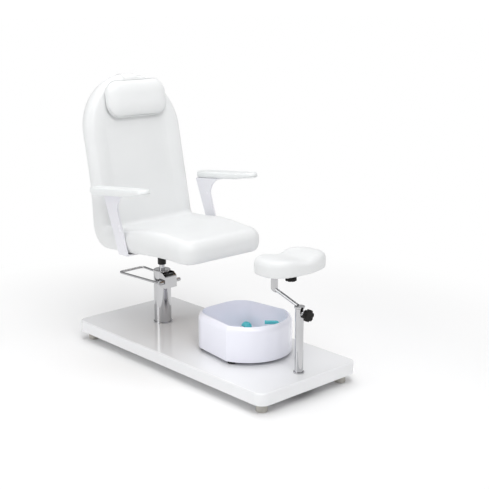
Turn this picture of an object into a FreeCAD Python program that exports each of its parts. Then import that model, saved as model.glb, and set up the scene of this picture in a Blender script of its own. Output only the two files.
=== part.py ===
import FreeCAD, Part
import math
import os
import re
import Sketcher

# Pedicure spa chair: an upholstered shell seat on a foot-pumped hydraulic column, a removable
# foot basin and an adjustable footrest, all standing on one gloss board with four levelling feet.
# Millimetres, +Z up. The origin is on the floor under the middle of the board. The chair faces -Y.

doc = FreeCAD.newDocument("PedicureSpaChair")

# ---------------------------------------------------------------- driving dimensions

SIZES = {
    # board and feet
    "board_length": 1200, "board_width": 532, "board_thickness": 49,
    "board_corner_radius": 40, "board_edge_radius": 7,
    "foot_height": 40.5, "foot_inset": 50, "foot_ring_diameter": 56, "foot_ring_height": 13,
    "foot_pad_diameter": 46, "stud_diameter": 10, "stud_bite": 25,
    # hydraulic column
    "column_y": 318, "column_diameter": 76, "column_wall": 4, "column_top": 326,
    "trim_ring_margin": 8, "trim_ring_height": 5,
    "mount_plate_side": 170, "mount_plate_thickness": 6, "mount_bolt_inset": 22,
    "cap_thickness": 6, "cap_spigot": 14,
    "cylinder_wall": 3, "cylinder_gap": 1, "piston_diameter": 24, "piston_head_height": 22,
    "piston_floor": 110, "running_clearance": 0.05, "fit_gap": 0.3,
    # foot pump
    "bracket_width": 64, "bracket_front": 62, "bracket_sheet": 3, "bracket_bottom": 259,
    "bracket_front_top": 312, "bracket_rear_top": 325,
    "lever_pin_diameter": 10, "lever_pin_y": 270, "lever_pin_z": 284, "lever_pin_length": 114,
    "lever_rod_diameter": 11, "lever_reach": 278, "lever_half_width": 67, "lever_root_half_width": 49,
    "lever_corner_radius": 16, "lever_hub_diameter": 17, "crank_reach": 9, "crank_drop": 5,
    "plunger_diameter": 6, "plunger_offset": 6, "crank_top": 6.4,
    # seat hub and boards
    "hub_bottom": 354, "hub_diameter": 37, "hub_flange_diameter": 74, "hub_height": 86,
    "seat_plate_x": 220, "seat_plate_y": 200, "seat_plate_thickness": 6,
    "seat_board_x": 420, "seat_board_thickness": 12, "seat_board_front": -68, "seat_board_rear": 408,
    "seat_pitch": 3.1, "seat_under_z": 452, "seat_under_y": 400,
    # upholstery
    "seat_width": 496, "seat_front_width": 428, "seat_corner": 70, "seat_taper_rear": 250,
    "seat_taper_front": 0, "seat_nose": -122, "seat_rear": 478, "seat_lip": 16, "board_corner": 42,
    "back_y": 404, "back_z": 548, "back_lean": 11.5, "back_height": 641, "back_width": 496,
    "back_cushion_thickness": 46, "back_panel_thickness": 14, "back_board_thickness": 12,
    "back_board_inset": 34, "strap_width": 40, "strap_thickness": 4, "strap_spacing": 240,
    "pillow_width": 330, "pillow_height": 166, "pillow_thickness": 52, "pillow_station": 520,
    "band_width": 70, "band_thickness": 2.5, "band_fall": 190,
    # armrests
    "arm_gap": 1.5, "arm_reach": 40.5, "arm_length": 370, "arm_width": 78, "arm_thickness": 28,
    "arm_pitch": 5.6, "arm_y": 211, "arm_z": 746, "arm_blade_thickness": 8, "arm_flange": 4,
    "arm_foot_y": 218, "arm_foot_length": 59, "arm_top_front": 228, "arm_top_rear": 376,
    "arm_neck_y": 281, "arm_neck_drop": 62, "arm_plate_width": 60, "arm_tab_reach": 98,
    # footrest
    "post_y": -530, "post_diameter": 33, "post_wall": 2.5, "post_top": 350,
    "stem_diameter": 25, "disc_diameter": 41, "disc_thickness": 6, "stem_bottom": 150,
    "knob_z": 331, "knob_diameter": 47, "knob_thickness": 20,
    "screw_diameter": 8, "riser_y": -392, "riser_diameter": 28, "riser_bottom": 385,
    "riser_top": 472, "strut_diameter": 14, "tilt_pin_z": 462, "tilt_pin_diameter": 8,
    "pad_underside": 490, "pad_plate_thickness": 4, "pad_board_thickness": 10,
    "pad_length": 306, "pad_depth": 200, "pad_y": -477, "pad_thickness": 66, "pad_dip": 16,
    "pad_knob_diameter": 44, "pad_knob_y": -482,
    # basin
    "basin_x": 22, "basin_rear": -16, "basin_front": -398, "basin_crease": -275,
    "basin_rear_half": 140, "basin_front_half": 171, "basin_corner": 106,
    "basin_under": 103, "basin_rim": 249, "basin_shoulder": 30, "basin_floor": 118,
    "basin_foot_diameter": 32, "basin_foot_rear_x": 119, "basin_foot_rear_y": -85,
    "basin_foot_front_x": 144, "basin_foot_front_y": -278,
    "roller_diameter": 46, "roller_width": 40, "roller_gap": 1,
    "roller_y": -107, "roller_spacing": 186, "axle_diameter": 8, "spray_diameter": 16,
    "spray_z": 195, "spray_x": 146, "spray_y": -270, "spray_length": 58,
}

sheet = doc.addObject("Spreadsheet::Sheet", "Sizes")
for row, (name, value) in enumerate(SIZES.items(), start=1):
    sheet.set(f"A{row}", name)
    sheet.set(f"B{row}", str(value))
    sheet.setAlias(f"B{row}", name)
doc.recompute()

subparts = []                       # (node name, object) in the order they are made


def size(name):
    """The value in a named cell, for shapes that are worked out in code."""
    return float(sheet.get(name))


def full(expression):
    """The expression with each size's name pointing at its cell."""
    return re.sub(r"[a-z_]+", lambda word: ("Sizes." + word[0]) if word[0] in SIZES else word[0],
                  str(expression))


def bind(obj, **properties):
    """Tie properties to expressions; two underscores in a name stand for a dot."""
    for name, expression in properties.items():
        obj.setExpression(name.replace("__", "."), full(expression))


TURNS = {
    "Z": FreeCAD.Rotation(),
    "X": FreeCAD.Rotation(FreeCAD.Vector(0, 1, 0), 90),
    "Y": FreeCAD.Rotation(FreeCAD.Vector(1, 0, 0), -90),
}


def place(obj, x=0, y=0, z=0, axis="Z"):
    """Put an object at a bound place, with its own Z turned to the named axis."""
    obj.Placement = FreeCAD.Placement(FreeCAD.Vector(0, 0, 0), TURNS[axis])
    bind(obj, Placement__Base__x=x, Placement__Base__y=y, Placement__Base__z=z)
    return obj


def node(label, obj):
    """Name a finished sub-part."""
    obj.Label = label
    subparts.append((label, obj))
    return obj


def rod(name, diameter, length, x=0, y=0, z=0, axis="Z"):
    """A cylinder that starts at the place and runs along the axis."""
    obj = doc.addObject("Part::Cylinder", name)
    bind(obj, Radius=f"({diameter}) / 2", Height=length)
    return place(obj, x, y, z, axis)


def block(name, x_size, y_size, z_size, x, y, z):
    """A box centred on X and Y, standing on z."""
    obj = doc.addObject("Part::Box", name)
    bind(obj, Length=x_size, Width=y_size, Height=z_size)
    return place(obj, f"({x}) - ({x_size}) / 2", f"({y}) - ({y_size}) / 2", z)


def cut(name, base, *tools):
    """The base less the tools."""
    for number, tool in enumerate(tools):
        obj = doc.addObject("Part::Cut", f"{name}_{number}")
        obj.Base = base
        obj.Tool = tool
        base = obj
    return base


def fuse(name, *pieces):
    """One solid from several."""
    obj = doc.addObject("Part::MultiFuse", name)
    obj.Shapes = list(pieces)
    return obj


def group(name, *pieces):
    """Separate solids in one node."""
    obj = doc.addObject("Part::Compound", name)
    obj.Links = list(pieces)
    return obj


def tube(name, outer, inner, length, x=0, y=0, z=0, axis="Z"):
    """A tube, bored right through."""
    return cut(name, rod(name + "_outer", outer, length, x, y, z, axis),
               rod(name + "_bore", inner, length, x, y, z, axis))


def base_plane(body, role):
    """One of a body's own origin planes."""
    return next(plane for plane in body.Origin.OriginFeatures if plane.Role == role)


def polygon(body, role, points):
    """A closed sketch whose corners are each tied to two expressions."""
    sketch = body.newObject("Sketcher::SketchObject", body.Name + "_sketch")
    sketch.AttachmentSupport = [(base_plane(body, role), "")]
    sketch.MapMode = "FlatFace"
    count = len(points)
    rough = [FreeCAD.Vector(*[measure(value) for value in point], 0) for point in points]
    for index in range(count):
        sketch.addGeometry(Part.LineSegment(rough[index], rough[(index + 1) % count]), False)
    for index in range(count):
        sketch.addConstraint(Sketcher.Constraint("Coincident", index, 2, (index + 1) % count, 1))
    for index, point in enumerate(points):
        for kind, value in zip(("DistanceX", "DistanceY"), point):
            if str(value) == "0":
                line = -2 if kind == "DistanceX" else -1
                sketch.addConstraint(Sketcher.Constraint("PointOnObject", index, 1, line))
                continue
            number = sketch.addConstraint(
                Sketcher.Constraint(kind, -1, 1, index, 1, measure(value)))
            sketch.setExpression(f"Constraints[{number}]", full(value))
    return sketch


def measure(expression):
    """The number that an expression of sizes gives now."""
    holder = doc.getObject("Scratch") or doc.addObject("App::FeaturePython", "Scratch")
    return float(holder.evalExpression(full(expression)))


def prism(name, points, thickness, role="YZ_Plane", midplane=True):
    """A PartDesign body: a polygon padded both ways from its plane, or one way."""
    body = doc.addObject("PartDesign::Body", name)
    sketch = polygon(body, role, points)
    pad = body.newObject("PartDesign::Pad", name + "_pad")
    pad.Profile = sketch
    pad.Midplane = midplane
    bind(pad, Length=thickness)
    sketch.Visibility = False
    doc.recompute()
    return body


def turned(name, points, x=0, y=0, z=0, axis="Z"):
    """A PartDesign body: a half profile of (radius, height) turned about its own Z."""
    body = doc.addObject("PartDesign::Body", name)
    sketch = polygon(body, "XZ_Plane", points)
    spin = body.newObject("PartDesign::Revolution", name + "_spin")
    spin.Profile = sketch
    spin.ReferenceAxis = (sketch, ["V_Axis"])
    spin.Angle = 360
    doc.recompute()
    return place(body, x, y, z, axis)


def feature(label, shape):
    """A sub-part whose shape is worked out in code."""
    obj = doc.addObject("Part::Feature", label)
    obj.Shape = shape
    return obj


def rounded(shape, radius, pick):
    """Round the edges that pick chooses, with the largest radius up to the one asked for that holds."""
    edges = [edge for edge in shape.Edges if pick(edge)]
    for share in (1.0, 0.8, 0.6, 0.4):
        try:
            result = shape.makeFillet(radius * share, edges)
        except Part.OCCError:
            continue
        if result.isValid() and len(result.Solids) == 1:
            return result
    raise RuntimeError("no fillet holds")


DECK = "(foot_height + board_thickness)"


# ---------------------------------------------------------------- board and feet

def make_board():
    """The lacquered board: rounded corners, eased top edge, bored for column, post and feet."""
    half_x = "board_width / 2"
    half_y = "board_length / 2"
    body = prism("board_body", [(f"-{half_x}", f"-{half_y}"), (half_x, f"-{half_y}"),
                                (half_x, half_y), (f"-{half_x}", half_y)],
                 "board_thickness", "XY_Plane", False)
    pad = body.Tip
    upright = [f"Edge{i + 1}" for i, edge in enumerate(pad.Shape.Edges)
               if abs(edge.BoundBox.ZLength - size("board_thickness")) < 0.01]
    corners = body.newObject("PartDesign::Fillet", "board_corners")
    corners.Base = (pad, upright)
    bind(corners, Radius="board_corner_radius")
    doc.recompute()
    top = size("board_thickness")
    rim = [f"Edge{i + 1}" for i, edge in enumerate(corners.Shape.Edges)
           if edge.BoundBox.ZLength < 0.01 and abs(edge.BoundBox.ZMax - top) < 0.01]
    ease = body.newObject("PartDesign::Fillet", "board_ease")
    ease.Base = (corners, rim)
    bind(ease, Radius="board_edge_radius")
    bind(body, Placement__Base__z="foot_height")
    doc.recompute()
    column_hole = rod("column_hole", "column_diameter", "2 * board_thickness", 0, "column_y",
                      "foot_height - board_thickness / 2")
    post_hole = rod("post_hole", "post_diameter", "2 * board_thickness", 0, "post_y",
                    "foot_height - board_thickness / 2")
    stud_holes = [rod(f"stud_hole_{i}", "stud_diameter", "stud_bite", x, y, "foot_height")
                  for i, (x, y) in enumerate(FOOT_PLACES)]
    node("base_board", cut("board", body, column_hole, post_hole, *stud_holes))


FOOT_PLACES = [(f"{sx} * (board_width / 2 - foot_inset)", f"{sy} * (board_length / 2 - foot_inset)")
               for sx in (-1, 1) for sy in (-1, 1)]


def make_feet():
    """Four levelling feet: metal ring, rubber pad and threaded stud each."""
    rings, pads, studs = [], [], []
    pad_top = "(foot_height - foot_ring_height)"
    for i, (x, y) in enumerate(FOOT_PLACES):
        rings.append(turned(f"ring_{i}", [
            ("stud_diameter / 2", pad_top),
            ("foot_ring_diameter / 2 - 2", pad_top),
            ("foot_ring_diameter / 2", f"{pad_top} + 2"),
            ("foot_ring_diameter / 2", "foot_height - 1.5"),
            ("foot_ring_diameter / 2 - 1.5", "foot_height"),
            ("stud_diameter / 2", "foot_height")], x, y))
        pads.append(turned(f"pad_{i}", [
            (0, 0), ("foot_pad_diameter / 2 - 2.5", 0),
            ("foot_pad_diameter / 2", 2.5), ("foot_pad_diameter / 2 - 2", pad_top),
            ("stud_diameter / 2", pad_top), ("stud_diameter / 2", 8), (0, 8)], x, y))
        studs.append(rod(f"stud_{i}", "stud_diameter", "foot_height + stud_bite - 8", x, y, 8))
    node("foot_rings", group("foot_ring_group", *rings))
    node("foot_pads", group("foot_pad_group", *pads))
    node("foot_studs", group("foot_stud_group", *studs))


# ---------------------------------------------------------------- hydraulic column

def make_column():
    """Mounting plate under the board, chromed sleeve, oil cylinder and cap."""
    plate_z = "(foot_height - mount_plate_thickness)"
    plate = block("column_plate", "mount_plate_side", "mount_plate_side", "mount_plate_thickness",
                  0, "column_y", plate_z)
    bolt_places = [(f"{sx} * (mount_plate_side / 2 - mount_bolt_inset)",
                    f"column_y + {sy} * (mount_plate_side / 2 - mount_bolt_inset)")
                   for sx in (-1, 1) for sy in (-1, 1)]
    holes = [rod(f"plate_hole_{i}", 8, "mount_plate_thickness", x, y, plate_z)
             for i, (x, y) in enumerate(bolt_places)]
    node("column_mount_plate", cut("column_mount", plate, *holes))
    heads = [turned(f"plate_bolt_{i}", [(0, "-5.5"), (6.5, "-5.5"), (6.5, 0), (4, 0),
                                        (4, "mount_plate_thickness"), (0, "mount_plate_thickness")],
                    x, y, plate_z) for i, (x, y) in enumerate(bolt_places)]
    node("column_mount_bolts", group("plate_bolts", *heads))
    bore = "column_diameter - 2 * column_wall"
    node("pump_column", tube("column", "column_diameter", bore, "column_top - foot_height",
                             0, "column_y", "foot_height"))
    node("column_trim_ring", tube("trim", "column_diameter + trim_ring_margin", "column_diameter",
                                  "trim_ring_height", 0, "column_y", DECK))
    cylinder_outer = f"({bore} - 2 * cylinder_gap)"
    cylinder_height = "column_top - cap_spigot - foot_height"
    node("pump_cylinder", tube("cylinder", cylinder_outer, f"{cylinder_outer} - 2 * cylinder_wall",
                               cylinder_height, 0, "column_y", "foot_height"))
    bush = "(piston_diameter / 2 + running_clearance)"
    node("column_cap", turned("cap", [
        (bush, "-cap_spigot"), ("column_diameter / 2 - column_wall", "-cap_spigot"),
        ("column_diameter / 2 - column_wall", 0), ("column_diameter / 2", 0),
        ("column_diameter / 2", "cap_thickness - 2"), ("column_diameter / 2 - 2", "cap_thickness"),
        (bush, "cap_thickness")], 0, "column_y", "column_top"))


def make_piston():
    """The piston: a head inside the cylinder and a chromed rod up into the seat hub."""
    head = "(column_diameter / 2 - column_wall - cylinder_gap - cylinder_wall - fit_gap)"
    top = "hub_bottom + hub_height - 12 - piston_floor"
    node("piston_rod", turned("piston", [
        (0, 0), (head, 0), (head, "piston_head_height"), ("piston_diameter / 2", "piston_head_height"),
        ("piston_diameter / 2", top), (0, top)], 0, "column_y", "piston_floor"))


# ---------------------------------------------------------------- foot pump

def make_bracket():
    """A channel of plated sheet on the front of the column, with its top edge falling forward."""
    front = "(column_y - bracket_front)"
    rear = "(column_y - column_diameter / 4)"
    outside = prism("bracket_outside", [(front, "bracket_bottom"), (rear, "bracket_bottom"),
                                        (rear, "bracket_rear_top"), (f"{front} + 20", "bracket_rear_top"),
                                        (f"{front} + 1", "bracket_front_top"),
                                        (front, "bracket_front_top - 4")], "bracket_width")
    hollow = block("bracket_hollow", "bracket_width - 2 * bracket_sheet", "bracket_front * 2",
                   200, 0, f"{front} + bracket_sheet + bracket_front", "bracket_bottom - 50")
    column = rod("bracket_column", "column_diameter", 300, 0, "column_y", "foot_height + 100")
    pin_hole = rod("bracket_pin_hole", "lever_pin_diameter + 2 * running_clearance",
                   "bracket_width + 4", "-bracket_width / 2 - 2", "lever_pin_y", "lever_pin_z", "X")
    node("lever_bracket", cut("bracket", outside, hollow, column, pin_hole))
    plunger_y = "(lever_pin_y - plunger_offset)"
    body = block("valve_body", "bracket_width - 2 * bracket_sheet - 10", 17, 20, 0,
                 "column_y - bracket_front + bracket_sheet + 9", "bracket_bottom + 42")
    valve_column = rod("valve_column", "column_diameter", 300, 0, "column_y", "foot_height + 100")
    guide = rod("plunger_guide", "plunger_diameter + 2 * running_clearance", 40, 0, plunger_y,
                "bracket_bottom + 32")
    node("valve_block", cut("valve", body, valve_column, guide))


def make_lever():
    """The foot lever: one bent rod on two hubs, the pin that it turns, and the crank inside."""
    pin_y, pin_z = size("lever_pin_y"), size("lever_pin_z")
    wide, root = size("lever_half_width"), size("lever_root_half_width")
    end_y = pin_y + size("lever_reach")
    bend = size("lever_corner_radius")
    corners = [FreeCAD.Vector(-root, pin_y, pin_z), FreeCAD.Vector(-wide, end_y, pin_z - 2),
               FreeCAD.Vector(wide, end_y, pin_z - 2), FreeCAD.Vector(root, pin_y, pin_z)]
    path = bent_path(corners, bend)
    start = path.Edges[0]
    ring = Part.Wire(Part.makeCircle(size("lever_rod_diameter") / 2, start.valueAt(start.FirstParameter),
                                     start.tangentAt(start.FirstParameter)))
    loop = feature("lever_loop", path.makePipeShell([ring], True, True))
    hub_inner = "(bracket_width / 2 + fit_gap)"
    hubs = [rod("hub_left", "lever_hub_diameter", f"lever_root_half_width + 6 - {hub_inner}",
                "-lever_root_half_width - 6", "lever_pin_y", "lever_pin_z", "X"),
            rod("hub_right", "lever_hub_diameter", f"lever_root_half_width + 6 - {hub_inner}",
                hub_inner, "lever_pin_y", "lever_pin_z", "X")]
    pin_bore = rod("hub_bore", "lever_pin_diameter", "lever_pin_length + 20",
                   "-lever_pin_length / 2 - 10", "lever_pin_y", "lever_pin_z", "X")
    node("foot_lever", cut("lever", fuse("lever_body", loop, *hubs), pin_bore))
    shaft = rod("pin_shaft", "lever_pin_diameter", "lever_pin_length", "-lever_pin_length / 2",
                "lever_pin_y", "lever_pin_z", "X")
    nut = rod("pin_nut", "lever_pin_diameter + 5", 5, "lever_root_half_width + 6",
              "lever_pin_y", "lever_pin_z", "X")
    finger = prism("crank_finger", [
        ("lever_pin_y - crank_reach", "lever_pin_z - crank_drop"), ("lever_pin_y", "lever_pin_z - crank_drop"),
        ("lever_pin_y", "lever_pin_z + crank_top"),
        ("lever_pin_y - crank_reach", "lever_pin_z + crank_top")], 12)
    eye = rod("crank_eye", "2 * crank_top", 12, -6, "lever_pin_y", "lever_pin_z", "X")
    node("lever_pin", fuse("pin", shaft, nut, finger, eye))


def bent_path(corners, radius):
    """Straight runs through the corners, joined by tangent arcs of one radius."""
    edges = []
    start = corners[0]
    for before, corner, after in zip(corners, corners[1:], corners[2:]):
        inward = (before - corner).normalize()
        outward = (after - corner).normalize()
        half = inward.getAngle(outward) / 2
        step = radius / math.tan(half)
        first, last = corner + inward * step, corner + outward * step
        middle = (inward + outward).normalize()
        centre = corner + middle * (radius / math.sin(half))
        edges.append(Part.LineSegment(start, first).toShape())
        edges.append(Part.Arc(first, centre - middle * radius, last).toShape())
        start = last
    edges.append(Part.LineSegment(start, corners[-1]).toShape())
    return Part.Wire(edges)


def make_plunger():
    """The pump plunger over the crank finger, and the spring that pushes it and the lever back."""
    y = "(lever_pin_y - plunger_offset)"
    foot = "(lever_pin_z + crank_top + 0.4)"
    node("pump_plunger", turned("plunger", [
        (0, 0), (4.7, 0), (4.7, 2), ("plunger_diameter / 2", 2), ("plunger_diameter / 2", 32), (0, 32)],
        0, y, foot))
    coil_radius = size("plunger_diameter") / 2 + 1.1
    low = size("lever_pin_z") + size("crank_top") + 0.4 + 2
    high = size("bracket_bottom") + 42
    wire = 1.0
    helix = Part.makeHelix((high - low - wire) / 4, high - low - wire, coil_radius)
    inner, outer = coil_radius - wire / 2, coil_radius + wire / 2
    corners = [(inner, -wire / 2), (outer, -wire / 2), (outer, wire / 2), (inner, wire / 2), (inner, -wire / 2)]
    section = Part.makePolygon([FreeCAD.Vector(x, 0, z) for x, z in corners])
    coil = Part.Wire(helix).makePipeShell([section], True, True)
    spring = feature("spring", coil)
    spring.Placement = FreeCAD.Placement(
        FreeCAD.Vector(0, size("lever_pin_y") - size("plunger_offset"), low + wire / 2), FreeCAD.Rotation())
    node("plunger_spring", spring)


# ---------------------------------------------------------------- seat frame

def under(y):
    """The height of the seat board's underside at a y."""
    return f"(seat_under_z + (seat_under_y - ({y})) * tan(seat_pitch))"


def back_point(along, out):
    """A (y, z) pair at a station up the leaning back and a distance behind its front face."""
    return (f"(back_y + ({along}) * sin(back_lean) + ({out}) * cos(back_lean))",
            f"(back_z + ({along}) * cos(back_lean) - ({out}) * sin(back_lean))")


def seat_plan(inset, chamfer):
    """A tall solid on the seat's plan: wide beside the arms, slimmer in front, the corners cut off."""
    wide, slim = size("seat_width") / 2 - inset, size("seat_front_width") / 2 - inset
    nose, rear = size("seat_nose") + inset, size("seat_rear") + 20
    low, high = size("seat_under_z") - 60, size("back_z") + 120
    tip = [(slim - chamfer, nose), (slim, nose + chamfer)] if chamfer else [(slim, nose)]
    right = tip + [(slim, size("seat_taper_front")), (wide, size("seat_taper_rear")), (wide, rear)]
    outline = [FreeCAD.Vector(x, y, low) for x, y in right]
    outline += [FreeCAD.Vector(-x, y, low) for x, y in reversed(right)]
    return Part.Face(Part.makePolygon(outline + outline[:1])).extrude(FreeCAD.Vector(0, 0, high - low))


def seat_surround(inset):
    """A frame around the seat's plan, drawn in by an inset, for trimming the board to shape."""
    plan = seat_plan(inset, size("board_corner"))
    box = plan.BoundBox
    around = Part.makeBox(box.XLength + 240, box.YLength + 240, box.ZLength,
                          FreeCAD.Vector(box.XMin - 120, box.YMin - 120, box.ZMin))
    return feature("seat_ply_surround", around.cut(plan))


HUB_TOP = "(hub_bottom + hub_height)"
PLATE_TOP = "(hub_bottom + hub_height + seat_plate_thickness)"


def make_seat_frame():
    """Hub on the piston, steel plate, tapered riser, plywood board and the bolts through them."""
    bore = "(piston_diameter / 2 + running_clearance)"
    node("seat_hub", turned("hub", [
        (bore, 0), ("hub_diameter / 2 - 2", 0), ("hub_diameter / 2", 2), ("hub_diameter / 2", "hub_height - 8"),
        ("hub_flange_diameter / 2", "hub_height - 8"), ("hub_flange_diameter / 2", "hub_height"),
        (0, "hub_height"), (0, "hub_height - 11.5"), (bore, "hub_height - 11.5")],
        0, "column_y", "hub_bottom"))
    plate = block("plate_blank", "seat_plate_x", "seat_plate_y", "seat_plate_thickness", 0, "column_y", HUB_TOP)
    bolt_places = [(f"{sx} * (seat_plate_x / 2 - 20)", f"column_y + {sy} * (seat_plate_y / 2 - 20)")
                   for sx in (-1, 1) for sy in (-1, 1)]
    holes = [rod(f"seat_hole_{i}", 8, "seat_plate_thickness", x, y, HUB_TOP)
             for i, (x, y) in enumerate(bolt_places)]
    node("seat_plate", cut("seat_steel", plate, *holes))
    front, rear = "(column_y - seat_plate_y / 2)", "(column_y + seat_plate_y / 2)"
    node("seat_riser", prism("riser_wedge", [(front, PLATE_TOP), (rear, PLATE_TOP), (rear, under(rear)),
                                             (front, under(front))], "seat_plate_x"))
    bolts = [turned(f"seat_bolt_{i}", [(0, -5), (6.5, -5), (6.5, 0), (4, 0), (4, "seat_plate_thickness"),
                                       (0, "seat_plate_thickness")], x, y, HUB_TOP)
             for i, (x, y) in enumerate(bolt_places)]
    node("seat_plate_bolts", group("seat_bolts", *bolts))
    board = [("seat_board_front", under("seat_board_front")), ("seat_board_rear", under("seat_board_rear")),
             ("seat_board_rear", under("seat_board_rear") + " + seat_board_thickness"),
             ("seat_board_front", under("seat_board_front") + " + seat_board_thickness")]
    inset = (size("seat_width") - size("seat_board_x")) / 2
    ply = cut("seat_ply", prism("seat_ply_blank", board, "seat_board_x"), seat_surround(inset))
    node("seat_board", ply)
    return ply


def make_straps():
    """Two bent steel straps that tie the back's board to the seat's board."""
    knee_y = "(seat_board_rear + 18)"
    top_y = "(seat_board_rear - 90)"
    lift = " + seat_board_thickness"
    straps = []
    for side in (-1, 1):
        outline = [(top_y, under(top_y) + lift), (knee_y, under(knee_y) + lift),
                   back_point("-20", "back_cushion_thickness + strap_thickness"),
                   back_point("200", "back_cushion_thickness + strap_thickness"),
                   back_point("200", "back_cushion_thickness"), back_point("-20", "back_cushion_thickness"),
                   (f"{knee_y} - 3", under(knee_y) + lift + " + strap_thickness"),
                   (top_y, under(top_y) + lift + " + strap_thickness")]
        strap = prism(f"strap_{side + 1}", outline, "strap_width")
        bind(strap, Placement__Base__x=f"{side} * strap_spacing / 2")
        straps.append(strap)
    node("back_straps", group("strap_group", *straps))
    return straps


# ---------------------------------------------------------------- upholstery

def arch(inset, low, thickness, front):
    """The back's outline as a solid in the back's own frame: straight sides under a round arch."""
    half = size("back_width") / 2 - inset
    crown = size("back_height") - inset
    spring = crown - half
    left, right = FreeCAD.Vector(-half, front, low), FreeCAD.Vector(half, front, low)
    shoulder_left, shoulder_right = FreeCAD.Vector(-half, front, spring), FreeCAD.Vector(half, front, spring)
    edges = [Part.LineSegment(left, right).toShape(), Part.LineSegment(right, shoulder_right).toShape(),
             Part.Arc(shoulder_right, FreeCAD.Vector(0, front, crown), shoulder_left).toShape(),
             Part.LineSegment(shoulder_left, left).toShape()]
    return Part.Face(Part.Wire(edges)).extrude(FreeCAD.Vector(0, thickness, 0))


def back_placement():
    """Where the back's own frame stands."""
    return FreeCAD.Placement(FreeCAD.Vector(0, size("back_y"), size("back_z")),
                             FreeCAD.Rotation(FreeCAD.Vector(1, 0, 0), -size("back_lean")))


def make_back(straps):
    """Back cushion, plywood board let into its rear, and the upholstered rear panel."""
    cushion_depth, panel_depth = size("back_cushion_thickness"), size("back_panel_thickness")
    board_depth, inset = size("back_board_thickness"), size("back_board_inset")
    board = arch(inset, 30, board_depth, cushion_depth - board_depth)
    front = arch(0, 0, cushion_depth, 0)
    front = rounded(front, 30, lambda edge: edge.BoundBox.YMax < 0.01 and edge.BoundBox.ZMax > 1)
    cushion = feature("back_cushion", front.cut(board))
    cushion.Placement = back_placement()
    node("back_cushion", cushion)
    ply = feature("back_board", board)
    ply.Placement = back_placement()
    node("back_board", ply)
    panel = arch(0, 0, panel_depth, cushion_depth)
    rear_y = cushion_depth + panel_depth
    panel = rounded(panel, 14, lambda edge: edge.BoundBox.YMin > rear_y - 0.01 and edge.BoundBox.ZMax > 1)
    blank = feature("rear_panel_blank", panel)
    blank.Placement = back_placement()
    node("back_rear_panel", cut("rear_panel", blank, *straps))


def make_seat_cushion(straps, ply):
    """The seat cushion: upright nose, rising rear corner, hollowed for its board and the straps."""
    lean_angle = math.radians(size("back_lean"))
    depth = size("back_cushion_thickness") + size("back_panel_thickness")
    y0, z0 = size("back_y"), size("back_z")
    rear = (y0 + depth * math.cos(lean_angle), z0 - depth * math.sin(lean_angle))
    nose = size("seat_nose")
    lip_rear = size("seat_board_front")

    def low(y):
        return size("seat_under_z") + (size("seat_under_y") - y) * math.tan(math.radians(size("seat_pitch")))

    half = size("seat_width") / 2 + 20

    def at(y, z):
        return FreeCAD.Vector(-half, y, z)

    under_front, under_rear = at(lip_rear, low(lip_rear)), at(y0 - 6, low(y0 - 6))
    lip = at(nose + size("seat_lip"), low(lip_rear) - 10)
    back_corner = size("seat_rear")
    heel = at(back_corner - 16, low(y0) + 35)
    crest, top_front = at(nose + 182, z0 + 20), at(nose + 38, z0 + 2)
    edges = [
        Part.LineSegment(lip, under_front).toShape(),
        Part.LineSegment(under_front, under_rear).toShape(),
        Part.Arc(under_rear, heel, at(back_corner, rear[1] - 8)).toShape(),
        Part.LineSegment(at(back_corner, rear[1] - 8), at(back_corner, rear[1])).toShape(),
        Part.LineSegment(at(back_corner, rear[1]), at(*rear)).toShape(),
        Part.LineSegment(at(*rear), at(y0, z0)).toShape(),
        Part.Arc(at(y0, z0), crest, top_front).toShape(),
        Part.Arc(top_front, at(nose, z0 - 34), lip).toShape(),
    ]
    solid = Part.Face(Part.Wire(edges)).extrude(FreeCAD.Vector(2 * half, 0, 0))
    plan = rounded(seat_plan(0, 0), size("seat_corner"), lambda edge: edge.BoundBox.YMax < nose + 0.01
                   and edge.BoundBox.ZLength > 100)
    blank = feature("seat_cushion_blank", solid.common(plan))
    node("seat_cushion", cut("seat_foam", blank, ply, *straps))


def make_headrest():
    """The pillow on the back, and the band that hangs it over the top of the back."""
    width, height, depth = size("pillow_width"), size("pillow_height"), size("pillow_thickness")
    band_depth = size("band_thickness")
    station = size("pillow_station")
    gap = band_depth + size("fit_gap")
    box = Part.makeBox(width, depth, height, FreeCAD.Vector(-width / 2, -depth - gap, station - height / 2))
    corners = rounded(box, 55, lambda edge: edge.BoundBox.YLength > depth - 0.01)
    soft = rounded(corners, 18, lambda edge: edge.BoundBox.YLength < 0.01)
    pillow = feature("pillow", soft)
    pillow.Placement = back_placement()
    node("headrest_pillow", pillow)
    crown = size("back_height")
    depth_all = size("back_cushion_thickness") + size("back_panel_thickness")
    half = size("band_width") / 2

    fall = size("band_fall")
    back = feature("band_former", arch(0, 0, depth_all, 0))
    back.Placement = back_placement()
    strip = Part.makeBox(2 * half, depth_all + 2 * band_depth, fall + band_depth,
                         FreeCAD.Vector(-half, -band_depth, crown - fall))
    strip = rounded(strip, 2, lambda edge: edge.BoundBox.XLength > 2 * half - 0.01
                    and edge.BoundBox.ZMin > crown - 10)
    blank = feature("band_blank", strip)
    blank.Placement = back_placement()
    node("headrest_band", cut("band", blank, back))


# ---------------------------------------------------------------- armrests

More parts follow.
